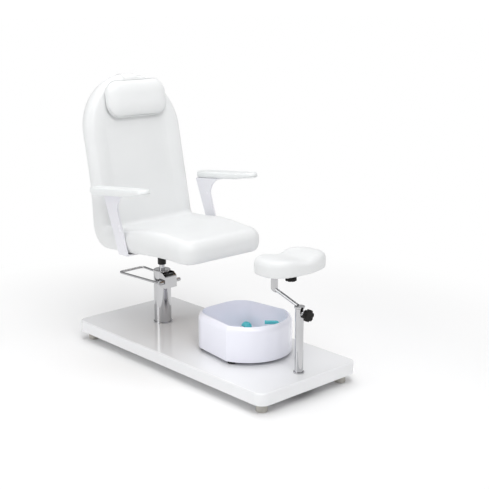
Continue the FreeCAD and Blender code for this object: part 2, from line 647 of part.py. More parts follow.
def make_arms():
    """Each armrest: a cut steel blade with a foot under the seat, a top flange, a pad and screws."""
    pitch, arm_y, arm_z = size("arm_pitch"), size("arm_y"), size("arm_z")
    thickness, flange = size("arm_thickness"), size("arm_flange")
    inner, blade = size("seat_width") / 2 + size("arm_gap"), size("arm_blade_thickness")
    slope = math.tan(math.radians(pitch))
    drop = (thickness + flange) / math.cos(math.radians(pitch))

    def top(y):
        return arm_z - drop - (y - arm_y) * slope

    def at(y, z):
        return FreeCAD.Vector(inner, y, z)

    foot_y, foot_length = size("arm_foot_y"), size("arm_foot_length")
    front, rear, neck = size("arm_top_front"), size("arm_top_rear"), size("arm_neck_y")
    neck_drop, tab_reach = size("arm_neck_drop"), size("arm_tab_reach")
    foot_z = size("seat_under_z") + (size("seat_under_y") - foot_y - foot_length - 1) * math.tan(
        math.radians(size("seat_pitch"))) - 6
    swell = neck - 18
    edges = [
        Part.LineSegment(at(foot_y, foot_z), at(foot_y + foot_length, foot_z)).toShape(),
        Part.LineSegment(at(foot_y + foot_length, foot_z), at(rear, top(rear))).toShape(),
        Part.LineSegment(at(rear, top(rear)), at(front, top(front))).toShape(),
        Part.Arc(at(front, top(front)), at(swell, top(swell) - neck_drop / 3),
                 at(neck, top(neck) - neck_drop)).toShape(),
        Part.LineSegment(at(neck, top(neck) - neck_drop), at(foot_y, foot_z)).toShape(),
    ]
    sheet_part = Part.Face(Part.Wire(edges)).extrude(FreeCAD.Vector(blade, 0, 0))
    tab = Part.makeBox(blade + tab_reach, foot_length, 5,
                       FreeCAD.Vector(inner - tab_reach, foot_y, foot_z))
    plate = Part.makeBox(size("arm_plate_width"), (rear - front) / math.cos(math.radians(pitch)),
                         flange, FreeCAD.Vector(0, 0, 0))
    plate.Placement = FreeCAD.Placement(FreeCAD.Vector(inner, front, top(front)),
                                        FreeCAD.Rotation(FreeCAD.Vector(1, 0, 0), -pitch))
    steel = sheet_part.fuse([tab, plate]).removeSplitter()
    half, length = size("arm_width") / 2, size("arm_length")
    nose, tail = 26, 22
    outline = [
        Part.LineSegment(FreeCAD.Vector(-half, length / 2 - tail, 0),
                         FreeCAD.Vector(-half, -length / 2 + 120, 0)).toShape(),
        Part.Arc(FreeCAD.Vector(-half, -length / 2 + 120, 0), FreeCAD.Vector(-half + 3, -length / 2 + 55, 0),
                 FreeCAD.Vector(-nose, -length / 2 + 12, 0)).toShape(),
        Part.Arc(FreeCAD.Vector(-nose, -length / 2 + 12, 0), FreeCAD.Vector(0, -length / 2, 0),
                 FreeCAD.Vector(nose, -length / 2 + 12, 0)).toShape(),
        Part.Arc(FreeCAD.Vector(nose, -length / 2 + 12, 0), FreeCAD.Vector(half - 3, -length / 2 + 55, 0),
                 FreeCAD.Vector(half, -length / 2 + 120, 0)).toShape(),
        Part.LineSegment(FreeCAD.Vector(half, -length / 2 + 120, 0),
                         FreeCAD.Vector(half, length / 2 - tail, 0)).toShape(),
        Part.Arc(FreeCAD.Vector(half, length / 2 - tail, 0), FreeCAD.Vector(0, length / 2, 0),
                 FreeCAD.Vector(-half, length / 2 - tail, 0)).toShape(),
    ]
    cushion = Part.Face(Part.Wire(outline)).extrude(FreeCAD.Vector(0, 0, -thickness))
    cushion = rounded(cushion, 9, lambda edge: abs(edge.BoundBox.ZMin) < 0.01)
    turn = FreeCAD.Rotation(FreeCAD.Vector(1, 0, 0), -pitch)
    middle = inner + size("arm_reach")
    screws = []
    for side, name in ((-1, "left"), (1, "right")):
        blade_feature = feature(f"arm_steel_{name}", steel if side > 0 else steel.mirror(
            FreeCAD.Vector(0, 0, 0), FreeCAD.Vector(1, 0, 0)))
        node(f"armrest_blade_{name}", blade_feature)
        pad = feature(f"arm_pad_{name}", cushion)
        pad.Placement = FreeCAD.Placement(FreeCAD.Vector(side * middle, arm_y, arm_z), turn)
        node(f"armrest_pad_{name}", pad)
        for index, y in enumerate((foot_y + foot_length / 4, foot_y + foot_length * 3 / 4)):
            head = Part.makeCylinder(5.5, 4, FreeCAD.Vector(
                side * (inner - tab_reach * 2 / 3), y, foot_z - 4))
            screws.append(feature(f"arm_screw_{name}_{index}", head))
        for index, y in enumerate((front + 30, rear - 30)):
            head = Part.makeCylinder(5, 3, FreeCAD.Vector(0, 0, -3))
            screw = feature(f"pad_screw_{name}_{index}", head)
            screw.Placement = FreeCAD.Placement(
                FreeCAD.Vector(side * middle, y, top(y)), turn)
            screws.append(screw)
    node("armrest_screws", group("arm_screw_group", *screws))


# ---------------------------------------------------------------- footrest

def make_post():
    """The footrest post: fixed tube with a slot at its top, foot plate, bush, clamp boss and screw knob."""
    plate_z = "(foot_height - mount_plate_thickness)"
    node("post_mount_plate", block("post_plate", 110, 90, "mount_plate_thickness", 0, "post_y", plate_z))
    bore = "(post_diameter - 2 * post_wall)"
    sleeve = tube("post_sleeve", "post_diameter", bore, "post_top - foot_height", 0, "post_y", "foot_height")
    slot = block("post_slot", 5, "post_diameter", 34, 0, "post_y - post_diameter / 2", "post_top - 34")
    node("post_tube", cut("post", sleeve, slot))
    node("post_base_ring", tube("post_ring", "post_diameter + 10", "post_diameter", 5, 0, "post_y", DECK))
    slide = "(stem_diameter + 2 * running_clearance)"
    node("post_bush", turned("bush", [
        (f"{slide} / 2", "-60"), (f"{bore} / 2", "-60"), (f"{bore} / 2", 0), ("post_diameter / 2", 0),
        ("post_diameter / 2", 2), (f"{slide} / 2", 2)], 0, "post_y", "post_top"))
    face = "(post_y - post_diameter / 2 + 1)"
    boss = rod("boss_blank", 16, 9, 0, f"{face} - 9", "knob_z", "Y")
    boss_post = rod("boss_post", "post_diameter", 100, 0, "post_y", "knob_z - 50")
    boss_bore = rod("boss_bore", "screw_diameter + 2 * running_clearance", 40, 0, f"{face} - 20", "knob_z", "Y")
    node("clamp_boss", cut("boss", boss, boss_post, boss_bore))
    node("clamp_screw", rod("screw", "screw_diameter", 18, 0, f"{face} - 19.5", "knob_z", "Y"))
    star = star_knob(size("knob_diameter") / 2, size("knob_thickness"), 6, 3.4)
    knob = feature("star", star)
    knob.Placement = FreeCAD.Placement(
        FreeCAD.Vector(0, size("post_y") - size("post_diameter") / 2 + 1 - 19.5, size("knob_z")),
        FreeCAD.Rotation(FreeCAD.Vector(1, 0, 0), 90))
    node("clamp_knob", knob)


def star_knob(radius, thickness, lobes, depth):
    """A knob with scalloped lobes: a disc less a ring of round bites, edges eased."""
    disc = Part.makeCylinder(radius, thickness)
    bite = 2 * math.pi * radius / lobes * 0.3
    for index in range(lobes):
        angle = 2 * math.pi * (index + 0.5) / lobes
        reach = radius + bite - depth
        disc = disc.cut(Part.makeCylinder(bite, thickness + 2, FreeCAD.Vector(
            reach * math.cos(angle), reach * math.sin(angle), -1)))
    return rounded(disc, 2.5, lambda edge: edge.BoundBox.ZLength < 0.01)


def make_footrest_arm():
    """Stem in the post, and the cranked arm: disc, sloping strut, upright riser and tilt pin."""
    stem_top = "post_top + 2 + fit_gap"
    node("footrest_stem", rod("stem", "stem_diameter", f"{stem_top} - stem_bottom", 0, "post_y", "stem_bottom"))
    disc = rod("arm_disc", "disc_diameter", "disc_thickness", 0, "post_y", stem_top)
    riser_length = size("riser_top") - size("riser_bottom")
    radius = size("riser_diameter") / 2
    riser = Part.makeCylinder(radius, riser_length)
    mitre = Part.makeBox(4 * radius, 4 * radius, 2 * radius, FreeCAD.Vector(-2 * radius, -2 * radius, -2 * radius))
    mitre.Placement = FreeCAD.Placement(FreeCAD.Vector(0, -radius, 0),
                                        FreeCAD.Rotation(FreeCAD.Vector(1, 0, 0), 32))
    upright = feature("arm_riser", riser.cut(mitre))
    upright.Placement = FreeCAD.Placement(FreeCAD.Vector(0, size("riser_y"), size("riser_bottom")),
                                          FreeCAD.Rotation())
    start = FreeCAD.Vector(0, size("post_y") + 10, size("post_top") + 8)
    end = FreeCAD.Vector(0, size("riser_y"), size("riser_bottom") + 14)
    strut = feature("arm_strut", Part.makeCylinder(size("strut_diameter") / 2, (end - start).Length,
                                                   start, end - start))
    pin_hole = rod("riser_hole", "tilt_pin_diameter", 100, -50, "riser_y", "tilt_pin_z", "X")
    below = rod("arm_below", "disc_diameter", 40, 0, "post_y", f"{stem_top} - 40")
    node("footrest_arm", cut("crank", fuse("crank_body", disc, upright, strut), pin_hole, below))
    node("tilt_pin", fuse("tilt_pin_body",
                          rod("tilt_shaft", "tilt_pin_diameter", 54, -27, "riser_y", "tilt_pin_z", "X"),
                          rod("tilt_head", "tilt_pin_diameter + 6", 4, -27, "riser_y", "tilt_pin_z", "X"),
                          rod("tilt_nut", "tilt_pin_diameter + 5", 5, 23, "riser_y", "tilt_pin_z", "X")))


def make_footrest_pad():
    """Tilting plate with two ears, its board, the saddle-shaped cushion, bolts and the lock knob."""
    plate_z = "(pad_underside - pad_plate_thickness)"
    ear_x = "(riser_diameter / 2 + fit_gap + 2)"
    plate = block("pad_plate_blank", 60, 150, "pad_plate_thickness", 0, "riser_y - 60", plate_z)
    ears = [block(f"ear_{i}", 4, 26, f"{plate_z} - tilt_pin_z + 12", f"{side} * {ear_x}", "riser_y",
                  "tilt_pin_z - 12") for i, side in enumerate((-1, 1))]
    ear_hole = rod("ear_hole", "tilt_pin_diameter + 2 * running_clearance", 100, -50, "riser_y",
                   "tilt_pin_z", "X")
    screw_hole = rod("pad_screw_hole", "screw_diameter + 2 * running_clearance", 30, 0, "pad_knob_y",
                     f"{plate_z} - 10")
    node("pad_bracket", cut("pad_steel", fuse("pad_steel_body", plate, *ears), ear_hole, screw_hole))
    length, depth = size("pad_length"), size("pad_depth")
    base = size("pad_underside")
    centre = FreeCAD.Vector(0, size("pad_y"), 0)
    ply_depth = size("pad_board_thickness")
    ply = pad_outline(length - 44, depth - 44, base, centre).extrude(FreeCAD.Vector(0, 0, ply_depth))
    hole = Part.makeCylinder(size("screw_diameter") / 2 + size("running_clearance"), 30,
                             FreeCAD.Vector(0, size("pad_knob_y"), base - 10))
    node("pad_board", feature("pad_ply", ply.cut(hole)))
    solid = pad_outline(length, depth, base, centre).extrude(FreeCAD.Vector(0, 0, size("pad_thickness")))
    dip = size("pad_dip")
    radius = ((length / 2) ** 2 + dip ** 2) / (2 * dip)
    trough = Part.makeCylinder(radius, 2 * depth,
                               FreeCAD.Vector(0, size("pad_y") - depth, base + size("pad_thickness") - dip + radius),
                               FreeCAD.Vector(0, 1, 0))
    cushion = solid.cut(trough).cut(ply)
    node("footrest_cushion", feature("footrest_foam", cushion))
    bolts = [turned(f"pad_bolt_{i}", [(0, -4), (5.5, -4), (5.5, 0), (3, 0), (3, 0.5), (0, 0.5)],
                    f"{side} * 22", "riser_y - 122", plate_z) for i, side in enumerate((-1, 1))]
    holes_free = [cut(f"pad_bolt_cut_{i}", bolt, block(f"bolt_over_{i}", 60, 60, 20, f"{side} * 22",
                                                       "riser_y - 122", plate_z))
                  for i, (bolt, side) in enumerate(zip(bolts, (-1, 1)))]
    node("pad_bolts", group("pad_bolt_group", *holes_free))
    node("pad_knob_screw", rod("lock_screw", "screw_diameter", 42, 0, "pad_knob_y", f"{plate_z} - 34"))
    knob = feature("lock_star", star_knob(size("pad_knob_diameter") / 2, 15, 7, 2.4).cut(
        Part.makeCylinder(size("screw_diameter") / 2, 40, FreeCAD.Vector(0, 0, -10))))
    knob.Placement = FreeCAD.Placement(
        FreeCAD.Vector(0, size("pad_knob_y"), base - size("pad_plate_thickness") - 37), FreeCAD.Rotation())
    node("pad_lock_knob", knob)


def pad_outline(length, depth, z, centre):
    """A bean outline: two round ends, a bowed front and a hollow rear edge."""
    half, end = length / 2, depth / 2
    corner = min(half, end) * 0.9
    waist = 14

    def at(x, y):
        return FreeCAD.Vector(x, y, z) + centre

    edges = [
        Part.Arc(at(-half + corner, -end), at(0, -end - 2), at(half - corner, -end)).toShape(),
        Part.Arc(at(half - corner, -end), at(half, 0), at(half - corner, end)).toShape(),
        Part.Arc(at(half - corner, end), at(0, end - waist), at(-half + corner, end)).toShape(),
        Part.Arc(at(-half + corner, end), at(-half, 0), at(-half + corner, -end)).toShape(),
    ]
    return Part.Face(Part.Wire(edges))


# ---------------------------------------------------------------- basin

def basin_face(inset, z):
    """The basin's plan: short straight rear, rounded rear corners, flat splayed sides, bowed front."""
    centre, rear, crease = size("basin_x"), size("basin_rear") - inset, size("basin_crease")
    front = size("basin_front") + inset
    near, wide = size("basin_rear_half") - inset, size("basin_front_half") - inset
    corner = size("basin_corner") - inset
    side = FreeCAD.Vector(wide - near, crease - rear, 0).normalize()
    turn = math.acos(side.x)
    step = corner * math.tan(turn / 2)
    start = FreeCAD.Vector(near - step, rear, z)
    middle = start + FreeCAD.Vector(corner * math.sin(turn / 2), -corner * (1 - math.cos(turn / 2)), 0)
    end = start + FreeCAD.Vector(corner * math.sin(turn), -corner * (1 - math.cos(turn)), 0)
    sharp = FreeCAD.Vector(wide, crease, z)
    tip = FreeCAD.Vector(0, front, z)

    def flip(point):
        return FreeCAD.Vector(-point.x, point.y, point.z)

    edges = [
        Part.LineSegment(flip(start), start).toShape(), Part.Arc(start, middle, end).toShape(),
        Part.LineSegment(end, sharp).toShape(), Part.Arc(sharp, tip, flip(sharp)).toShape(),
        Part.LineSegment(flip(sharp), flip(end)).toShape(),
        Part.Arc(flip(end), flip(middle), flip(start)).toShape(),
    ]
    face = Part.Face(Part.Wire(edges))
    face.translate(FreeCAD.Vector(centre, 0, 0))
    return face


ROLLER_Z = "(basin_floor + roller_diameter / 2 + roller_gap)"


def roller_centre():
    """The height of the rollers' axles: just clear of the tub's floor."""
    return size("basin_floor") + size("roller_diameter") / 2 + size("roller_gap")


def make_basin():
    """The moulded tub with a rolled shoulder, its feet, two foot rollers and a spray bar."""
    low, rim, floor = size("basin_under"), size("basin_rim"), size("basin_floor")
    shoulder = size("basin_shoulder")
    outside = basin_face(0, low).extrude(FreeCAD.Vector(0, 0, rim - low))
    outside = rounded(outside, shoulder, lambda edge: edge.BoundBox.ZMin > rim - 0.01)
    inner_top = shoulder * 0.55
    inside = basin_face(inner_top, floor).extrude(FreeCAD.Vector(0, 0, rim - floor + 1))
    inside = rounded(inside, 22, lambda edge: edge.BoundBox.ZMax < floor + 0.01)
    tub = outside.cut(inside)
    rollers_x = [size("basin_x") + side * size("roller_spacing") / 2 for side in (-1, 1)]
    node("basin_shell", feature("tub", tub))
    foot_places = [(side * size(f"basin_foot_{end}_x"), size(f"basin_foot_{end}_y"))
                   for side in (-1, 1) for end in ("rear", "front")]
    feet = [turned(f"basin_foot_{i}", [
        (0, 0), ("basin_foot_diameter / 2 - 2", 0), ("basin_foot_diameter / 2", 2),
        ("basin_foot_diameter / 2", f"basin_under - {DECK}"), (0, f"basin_under - {DECK}")],
        f"basin_x + {x}", y, DECK) for i, (x, y) in enumerate(foot_places)]
    node("basin_feet", group("basin_foot_group", *feet))
    axle_z, axle_y = roller_centre(), size("roller_y")
    half = size("roller_width") / 2
    axle_radius = size("axle_diameter") / 2
    axles, cradles = [], []
    for x, name in zip(rollers_x, ("left", "right")):
        axles.append(rod(f"axle_{name}", "axle_diameter", "roller_width + 18",
                         f"{x} - roller_width / 2 - 9", "roller_y", ROLLER_Z, "X"))
        for index, side in enumerate((-1, 1)):
            lug = Part.makeBox(5, 18, axle_z - floor + 8, FreeCAD.Vector(
                x + side * (half + 5.5) - 2.5, axle_y - 9, floor))
            bore = Part.makeCylinder(axle_radius, 20, FreeCAD.Vector(x + side * (half + 5.5) - 10, axle_y, axle_z),
                                     FreeCAD.Vector(1, 0, 0))
            cradles.append(feature(f"lug_{name}_{index}", lug.cut([bore, tub])))
        node(f"massage_roller_{name}", feature(f"roller_{name}", ribbed_roller(x)))
    node("roller_cradles", group("cradle_group", *cradles))
    node("roller_axles", group("axle_group", *axles))
    bar_radius = size("spray_diameter") / 2
    near = FreeCAD.Vector(size("spray_x"), size("spray_y"), size("spray_z"))
    far = near + FreeCAD.Vector(-1, 1, 0).normalize() * size("spray_length")
    foot = FreeCAD.Vector(near.x, near.y, floor)
    path = bent_path([far, near, foot], 14)
    start = path.Edges[0]
    ring = Part.Wire(Part.makeCircle(bar_radius, start.valueAt(start.FirstParameter),
                                     start.tangentAt(start.FirstParameter)))
    node("spray_bar", feature("spray", path.makePipeShell([ring], True, True)))


def ribbed_roller(x):
    """A flat-ended ball with grooves along it, bored for its axle, its axis along X."""
    radius, width = size("roller_diameter") / 2, size("roller_width")
    bore = size("axle_diameter") / 2 + size("running_clearance")
    grooves, groove_radius = 10, 3.2
    barrel = Part.makeCylinder(radius + 1, width)
    roller = Part.makeSphere(radius, FreeCAD.Vector(0, 0, width / 2)).common(barrel)
    tools = [Part.makeCylinder(bore, width + 2, FreeCAD.Vector(0, 0, -1))]
    for index in range(grooves):
        angle = 2 * math.pi * (index + 0.5) / grooves
        tools.append(Part.makeCylinder(groove_radius, width + 2, FreeCAD.Vector(
            radius * math.cos(angle), radius * math.sin(angle), -1)))
    roller = roller.cut(tools)
    roller.Placement = FreeCAD.Placement(
        FreeCAD.Vector(x - width / 2, size("roller_y"), roller_centre()), TURNS["X"])
    return roller


# ---------------------------------------------------------------- build and write

def build():
    """Make every sub-part in order."""
    make_board()
    make_feet()
    make_column()
    make_piston()
    make_bracket()
    make_lever()
    make_plunger()
    ply = make_seat_frame()
    straps = make_straps()
    make_seat_cushion(straps, ply)
    make_back(straps)
    make_headrest()
    make_arms()
    make_post()
    make_footrest_arm()
    make_footrest_pad()
    make_basin()


def check():
    """Stop if any object failed or any sub-part has no sound shape."""
    doc.recompute()
    for obj in doc.Objects:
        if {"Invalid", "Error"} & set(obj.State):
            raise RuntimeError(f"{obj.Name} failed: {obj.State}")
    for label, obj in subparts:
        shape = obj.Shape
        if shape.isNull() or not shape.isValid() or not shape.Solids:
            raise RuntimeError(f"{label} has no sound shape")
        print(f"{label}: {len(shape.Solids)} solid(s), {shape.Volume / 1000:.1f} cm3")


def write():
    """Write each sub-part as its own STEP file."""
    os.makedirs("parts", exist_ok=True)
    for label, obj in subparts:
        obj.Shape.exportStep(f"parts/{label}.step")


build()
check()
write()
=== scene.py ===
# %% [markdown]
# # A pedicure spa chair
# This lesson dresses a chair whose exact parts already exist. We keep the hard parts that are
# right, give every one a finish, and build the upholstery anew, because foam and leather never look
# like plain solids.

import math

import bmesh
import bpy
import numpy as np
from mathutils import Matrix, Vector


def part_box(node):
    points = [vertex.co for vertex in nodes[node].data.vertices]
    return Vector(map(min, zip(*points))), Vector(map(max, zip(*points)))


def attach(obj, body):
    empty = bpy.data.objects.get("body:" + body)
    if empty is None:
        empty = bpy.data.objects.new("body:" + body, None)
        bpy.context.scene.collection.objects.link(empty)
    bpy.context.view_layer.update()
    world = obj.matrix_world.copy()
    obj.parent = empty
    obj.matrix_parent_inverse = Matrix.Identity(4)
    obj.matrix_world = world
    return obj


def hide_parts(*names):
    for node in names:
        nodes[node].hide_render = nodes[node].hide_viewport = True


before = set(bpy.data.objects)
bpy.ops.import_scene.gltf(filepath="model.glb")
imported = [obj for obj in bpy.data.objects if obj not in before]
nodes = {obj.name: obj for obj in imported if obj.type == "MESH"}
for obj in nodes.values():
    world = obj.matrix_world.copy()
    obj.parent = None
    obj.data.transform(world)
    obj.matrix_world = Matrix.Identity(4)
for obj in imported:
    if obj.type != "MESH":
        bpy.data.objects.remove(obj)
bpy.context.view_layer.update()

# %% [markdown]
# ## The camera
# A chair like this is shown with a long lens from a little above the seat, so that upright
# tubes stay nearly upright. The camera is placed by the spot it stands on and two angles, its turn in
# plan and its dip below the horizon. That is easier to reason about than a rotation in three axes.

# %% Camera
CAMERA_SPOT = Vector((-2.586, -3.031, 1.505))
CAMERA_TURN = math.radians(47.385)
CAMERA_DIP = math.radians(14.146)
LENS = 72.86


def make_camera():
    """The sight line is (cos turn cos dip, sin turn cos dip, -sin dip), with the view's top kept upward."""
    sight = Vector((math.cos(CAMERA_TURN) * math.cos(CAMERA_DIP),
                    math.sin(CAMERA_TURN) * math.cos(CAMERA_DIP), -math.sin(CAMERA_DIP)))
    data = bpy.data.cameras.new("camera")
    data.lens, data.sensor_width = LENS, 36
    camera = bpy.data.objects.new("camera", data)
    camera.location = CAMERA_SPOT
    camera.rotation_euler = sight.to_track_quat("-Z", "Y").to_euler()
    bpy.context.collection.objects.link(camera)
    bpy.context.scene.camera = camera
    return camera


camera = make_camera()
print("camera at", tuple(camera.location), "lens", camera.data.lens)

# %% [markdown]
# ## Studio light
# White things on white need light from all around and one clear side that is darker, or their shapes
# vanish. Large area lights above and to the left do the first. The sky dome does the rest: it looks
# white to the camera, but polished steel sees soft grey and dark bands in it, as it would see the
# walls and black cards of a real studio. Light Path tells the two kinds of ray apart.

# %% Sky dome
bpy.context.scene.view_settings.view_transform = "Standard"


def wire(tree, *pairs):
    """Links output sockets to input sockets, given as (from, to) pairs."""
    for source, target in pairs:
        tree.links.new(source, target)


def math_node(tree, operation, first, second=None):
    """A Math node whose inputs are sockets or plain numbers; gives its output."""
    node = tree.nodes.new("ShaderNodeMath")
    node.operation = operation
    for socket, value in zip(node.inputs, (first, second)):
        if isinstance(value, bpy.types.NodeSocket):
            tree.links.new(value, socket)
        elif value is not None:
            socket.default_value = value
    return node.outputs[0]


def make_dome(strength, bands):
    """Grey as a function of compass direction: atan2(y, x) runs through a ramp of (place, grey) stops."""
    world = bpy.data.worlds.new("studio")
    bpy.context.scene.world = world
    world.use_nodes = True
    tree = world.node_tree
    tree.nodes.clear()
    coordinate = tree.nodes.new("ShaderNodeTexCoord")
    split = tree.nodes.new("ShaderNodeSeparateXYZ")
    ramp = tree.nodes.new("ShaderNodeValToRGB")
    mix = tree.nodes.new("ShaderNodeMixShader")
    path = tree.nodes.new("ShaderNodeLightPath")
    seen, cast = tree.nodes.new("ShaderNodeBackground"), tree.nodes.new("ShaderNodeBackground")
    output = tree.nodes.new("ShaderNodeOutputWorld")
    wire(tree, (coordinate.outputs["Generated"], split.inputs[0]))
    angle = math_node(tree, "ARCTAN2", split.outputs["Y"], split.outputs["X"])
    turn = math_node(tree, "ADD", math_node(tree, "DIVIDE", angle, 2 * math.pi), 0.5)
    ramp.color_ramp.interpolation = "B_SPLINE"
    for place, grey in bands[1:-1]:
        ramp.color_ramp.elements.new(place)
    for stop, (place, grey) in zip(ramp.color_ramp.elements, bands):
        stop.position, stop.color = place, (grey, grey, grey * 1.01, 1)
    seen.inputs["Color"].default_value = (1, 1, 1, 1)
    seen.inputs["Strength"].default_value = 1.1
    cast.inputs["Strength"].default_value = strength
    wire(tree, (turn, ramp.inputs[0]), (ramp.outputs[0], cast.inputs["Color"]),
         (path.outputs["Is Camera Ray"], mix.inputs[0]), (cast.outputs[0], mix.inputs[1]),
         (seen.outputs[0], mix.inputs[2]), (mix.outputs[0], output.inputs["Surface"]))
    return world


BANDS = [(0.0, 0.95), (0.08, 0.9), (0.13, 0.25), (0.19, 0.85), (0.3, 1.0), (0.4, 0.7), (0.46, 0.12),
         (0.52, 0.75), (0.62, 1.0), (0.7, 0.5), (0.76, 0.15), (0.83, 0.8), (0.92, 1.0), (1.0, 0.95)]
make_dome(0.62, BANDS)
print("dome with", len(BANDS), "bands")

# %% Soft boxes and floor


def soft_box(name, spot, target, size, watts):
    """A square area light at a spot, turned so that its face looks at the target."""
    data = bpy.data.lights.new(name, "AREA")
    data.size, data.energy = size, watts
    light = bpy.data.objects.new(name, data)
    light.location = spot
    light.rotation_euler = (Vector(target) - Vector(spot)).to_track_quat("-Z", "Y").to_euler()
    bpy.context.collection.objects.link(light)
    return light


soft_box("key", (-1.2, -2.2, 3.4), (0, 0, 0.5), 2.2, 64)
soft_box("overhead", (0.4, 0.5, 3.6), (0, 0, 0), 2.8, 51)
soft_box("left_fill", (-3.4, 1.2, 1.8), (0, 0, 0.6), 2.0, 22)


def make_floor(half_side, near, far):
    """A flat square in the plane z = 0. Between two radii its white paint turns into white light."""
    data = bpy.data.meshes.new("floor")
    data.from_pydata([(-half_side, -half_side, 0), (half_side, -half_side, 0), (half_side, half_side, 0),
                      (-half_side, half_side, 0)], [], [(0, 1, 2, 3)])
    floor = bpy.data.objects.new("floor", data)
    bpy.context.collection.objects.link(floor)
    material = bpy.data.materials.new("floor_white")
    material.use_nodes = True
    tree = material.node_tree
    shader, output = tree.nodes["Principled BSDF"], tree.nodes["Material Output"]
    shader.inputs["Base Color"].default_value = (0.97, 0.97, 0.97, 1)
    shader.inputs["Roughness"].default_value = 0.85
    glow, mix = tree.nodes.new("ShaderNodeEmission"), tree.nodes.new("ShaderNodeMixShader")
    reach, fade = tree.nodes.new("ShaderNodeVectorMath"), tree.nodes.new("ShaderNodeMapRange")
    reach.operation, fade.interpolation_type = "LENGTH", "SMOOTHSTEP"
    fade.inputs["From Min"].default_value, fade.inputs["From Max"].default_value = near, far
    wire(tree, (tree.nodes.new("ShaderNodeTexCoord").outputs["Object"], reach.inputs[0]),
         (reach.outputs["Value"], fade.inputs["Value"]), (fade.outputs[0], mix.inputs[0]),
         (shader.outputs[0], mix.inputs[1]), (glow.outputs[0], mix.inputs[2]),
         (mix.outputs[0], output.inputs["Surface"]))
    data.materials.append(material)
    return floor


make_floor(60, 0.7, 1.9)
print("three soft boxes and a floor")

# %% [markdown]
# ## Effects that several finishes share
# No real surface is one even colour. Four small effects cover this chair: a slow drift between two
# colours, a drift in gloss, leather's pebbled grain, and the faint orange peel of paint and moulded
# plastic. Each is a node group, built once, so that a finish can use it with its own numbers. A group
# gives out colours and values only; the shader itself stays in the material.

# %% Effect groups


def new_group(name, inputs, outputs):
    """An empty shader group with named sockets; sockets are (name, kind, starting value)."""
    group = bpy.data.node_groups.new(name, "ShaderNodeTree")
    for label, kind, value in inputs:
        socket = group.interface.new_socket(label, in_out="INPUT", socket_type=kind)
        socket.default_value = value
    for label, kind in outputs:
        group.interface.new_socket(label, in_out="OUTPUT", socket_type=kind)
    enter, leave = group.nodes.new("NodeGroupInput"), group.nodes.new("NodeGroupOutput")
    place = group.nodes.new("ShaderNodeTexCoord").outputs["Object"]
    return group, enter, leave, place


def noise_node(group, place, scale, detail):
    """Fractal noise read at the piece's own coordinates."""
    noise = group.nodes.new("ShaderNodeTexNoise")
    noise.inputs["Detail"].default_value = detail
    wire(group, (place, noise.inputs["Vector"]), (scale, noise.inputs["Scale"]))
    return noise.outputs["Fac"]


def make_colour_drift():
    """Colour = A + (B - A) * noise, so that no patch is quite like the next."""
    group, enter, leave, place = new_group(
        "colour_drift",
        [("A", "NodeSocketColor", (1, 1, 1, 1)), ("B", "NodeSocketColor", (1, 1, 1, 1)),
         ("Scale", "NodeSocketFloat", 5.0)], [("Colour", "NodeSocketColor")])
    mix = group.nodes.new("ShaderNodeMix")
    mix.data_type = "RGBA"
    wire(group, (noise_node(group, place, enter.outputs["Scale"], 3), mix.inputs["Factor"]),
         (enter.outputs["A"], mix.inputs["A"]), (enter.outputs["B"], mix.inputs["B"]),
         (mix.outputs["Result"], leave.inputs["Colour"]))
    return group


def make_gloss_drift():
    """Roughness = low + (high - low) * noise."""
    group, enter, leave, place = new_group(
        "gloss_drift", [("Low", "NodeSocketFloat", 0.3), ("High", "NodeSocketFloat", 0.4),
                        ("Scale", "NodeSocketFloat", 20.0)], [("Roughness", "NodeSocketFloat")])
    span = group.nodes.new("ShaderNodeMapRange")
    wire(group, (noise_node(group, place, enter.outputs["Scale"], 4), span.inputs["Value"]),
         (enter.outputs["Low"], span.inputs["To Min"]), (enter.outputs["High"], span.inputs["To Max"]),
         (span.outputs[0], leave.inputs["Roughness"]))
    return group


def make_leather_grain():
    """Height = smooth cell distance plus fine noise: round pebbles with creases between them."""
    group, enter, leave, place = new_group(
        "leather_grain", [("Scale", "NodeSocketFloat", 600.0)],
        [("Height", "NodeSocketFloat"), ("Crease", "NodeSocketFloat")])
    cells = group.nodes.new("ShaderNodeTexVoronoi")
    cells.feature = "SMOOTH_F1"
    wire(group, (place, cells.inputs["Vector"]), (enter.outputs["Scale"], cells.inputs["Scale"]))
    fine = noise_node(group, place, math_node(group, "MULTIPLY", enter.outputs["Scale"], 2.5), 2)
    pebble = math_node(group, "SUBTRACT", 1.0, cells.outputs["Distance"])
    height = math_node(group, "ADD", pebble, math_node(group, "MULTIPLY", fine, 0.25))
    wire(group, (height, leave.inputs["Height"]),
         (cells.outputs["Distance"], leave.inputs["Crease"]))
    return group


def make_orange_peel():
    """Height = soft noise with little detail, the shallow waves left by spraying or moulding."""
    group, enter, leave, place = new_group(
        "orange_peel", [("Scale", "NodeSocketFloat", 120.0)], [("Height", "NodeSocketFloat")])
    wire(group, (noise_node(group, place, enter.outputs["Scale"], 1), leave.inputs["Height"]))
    return group


def make_wood_bands():
    """Height = bands of noise stretched along the board, as in peeled veneer."""
    group, enter, leave, place = new_group(
        "veneer", [("Scale", "NodeSocketFloat", 14.0)], [("Height", "NodeSocketFloat")])
    stretch = group.nodes.new("ShaderNodeMapping")
    stretch.inputs["Scale"].default_value = (6.0, 0.5, 6.0)
    wire(group, (place, stretch.inputs["Vector"]))
    wire(group, (noise_node(group, stretch.outputs[0], enter.outputs["Scale"], 5), leave.inputs["Height"]))
    return group


for maker in (make_colour_drift, make_gloss_drift, make_leather_grain, make_orange_peel, make_wood_bands):
    print("effect", maker().name)

# %% [markdown]
# ## Finishes
# One function makes every finish from the same short list of facts: two near colours, two roughness
# limits, a texture with its real size and depth, and how metallic or coated it is. Plain numbers go
# straight on the shader's own sockets, because an exported model can only read them there.

# %% Finish maker


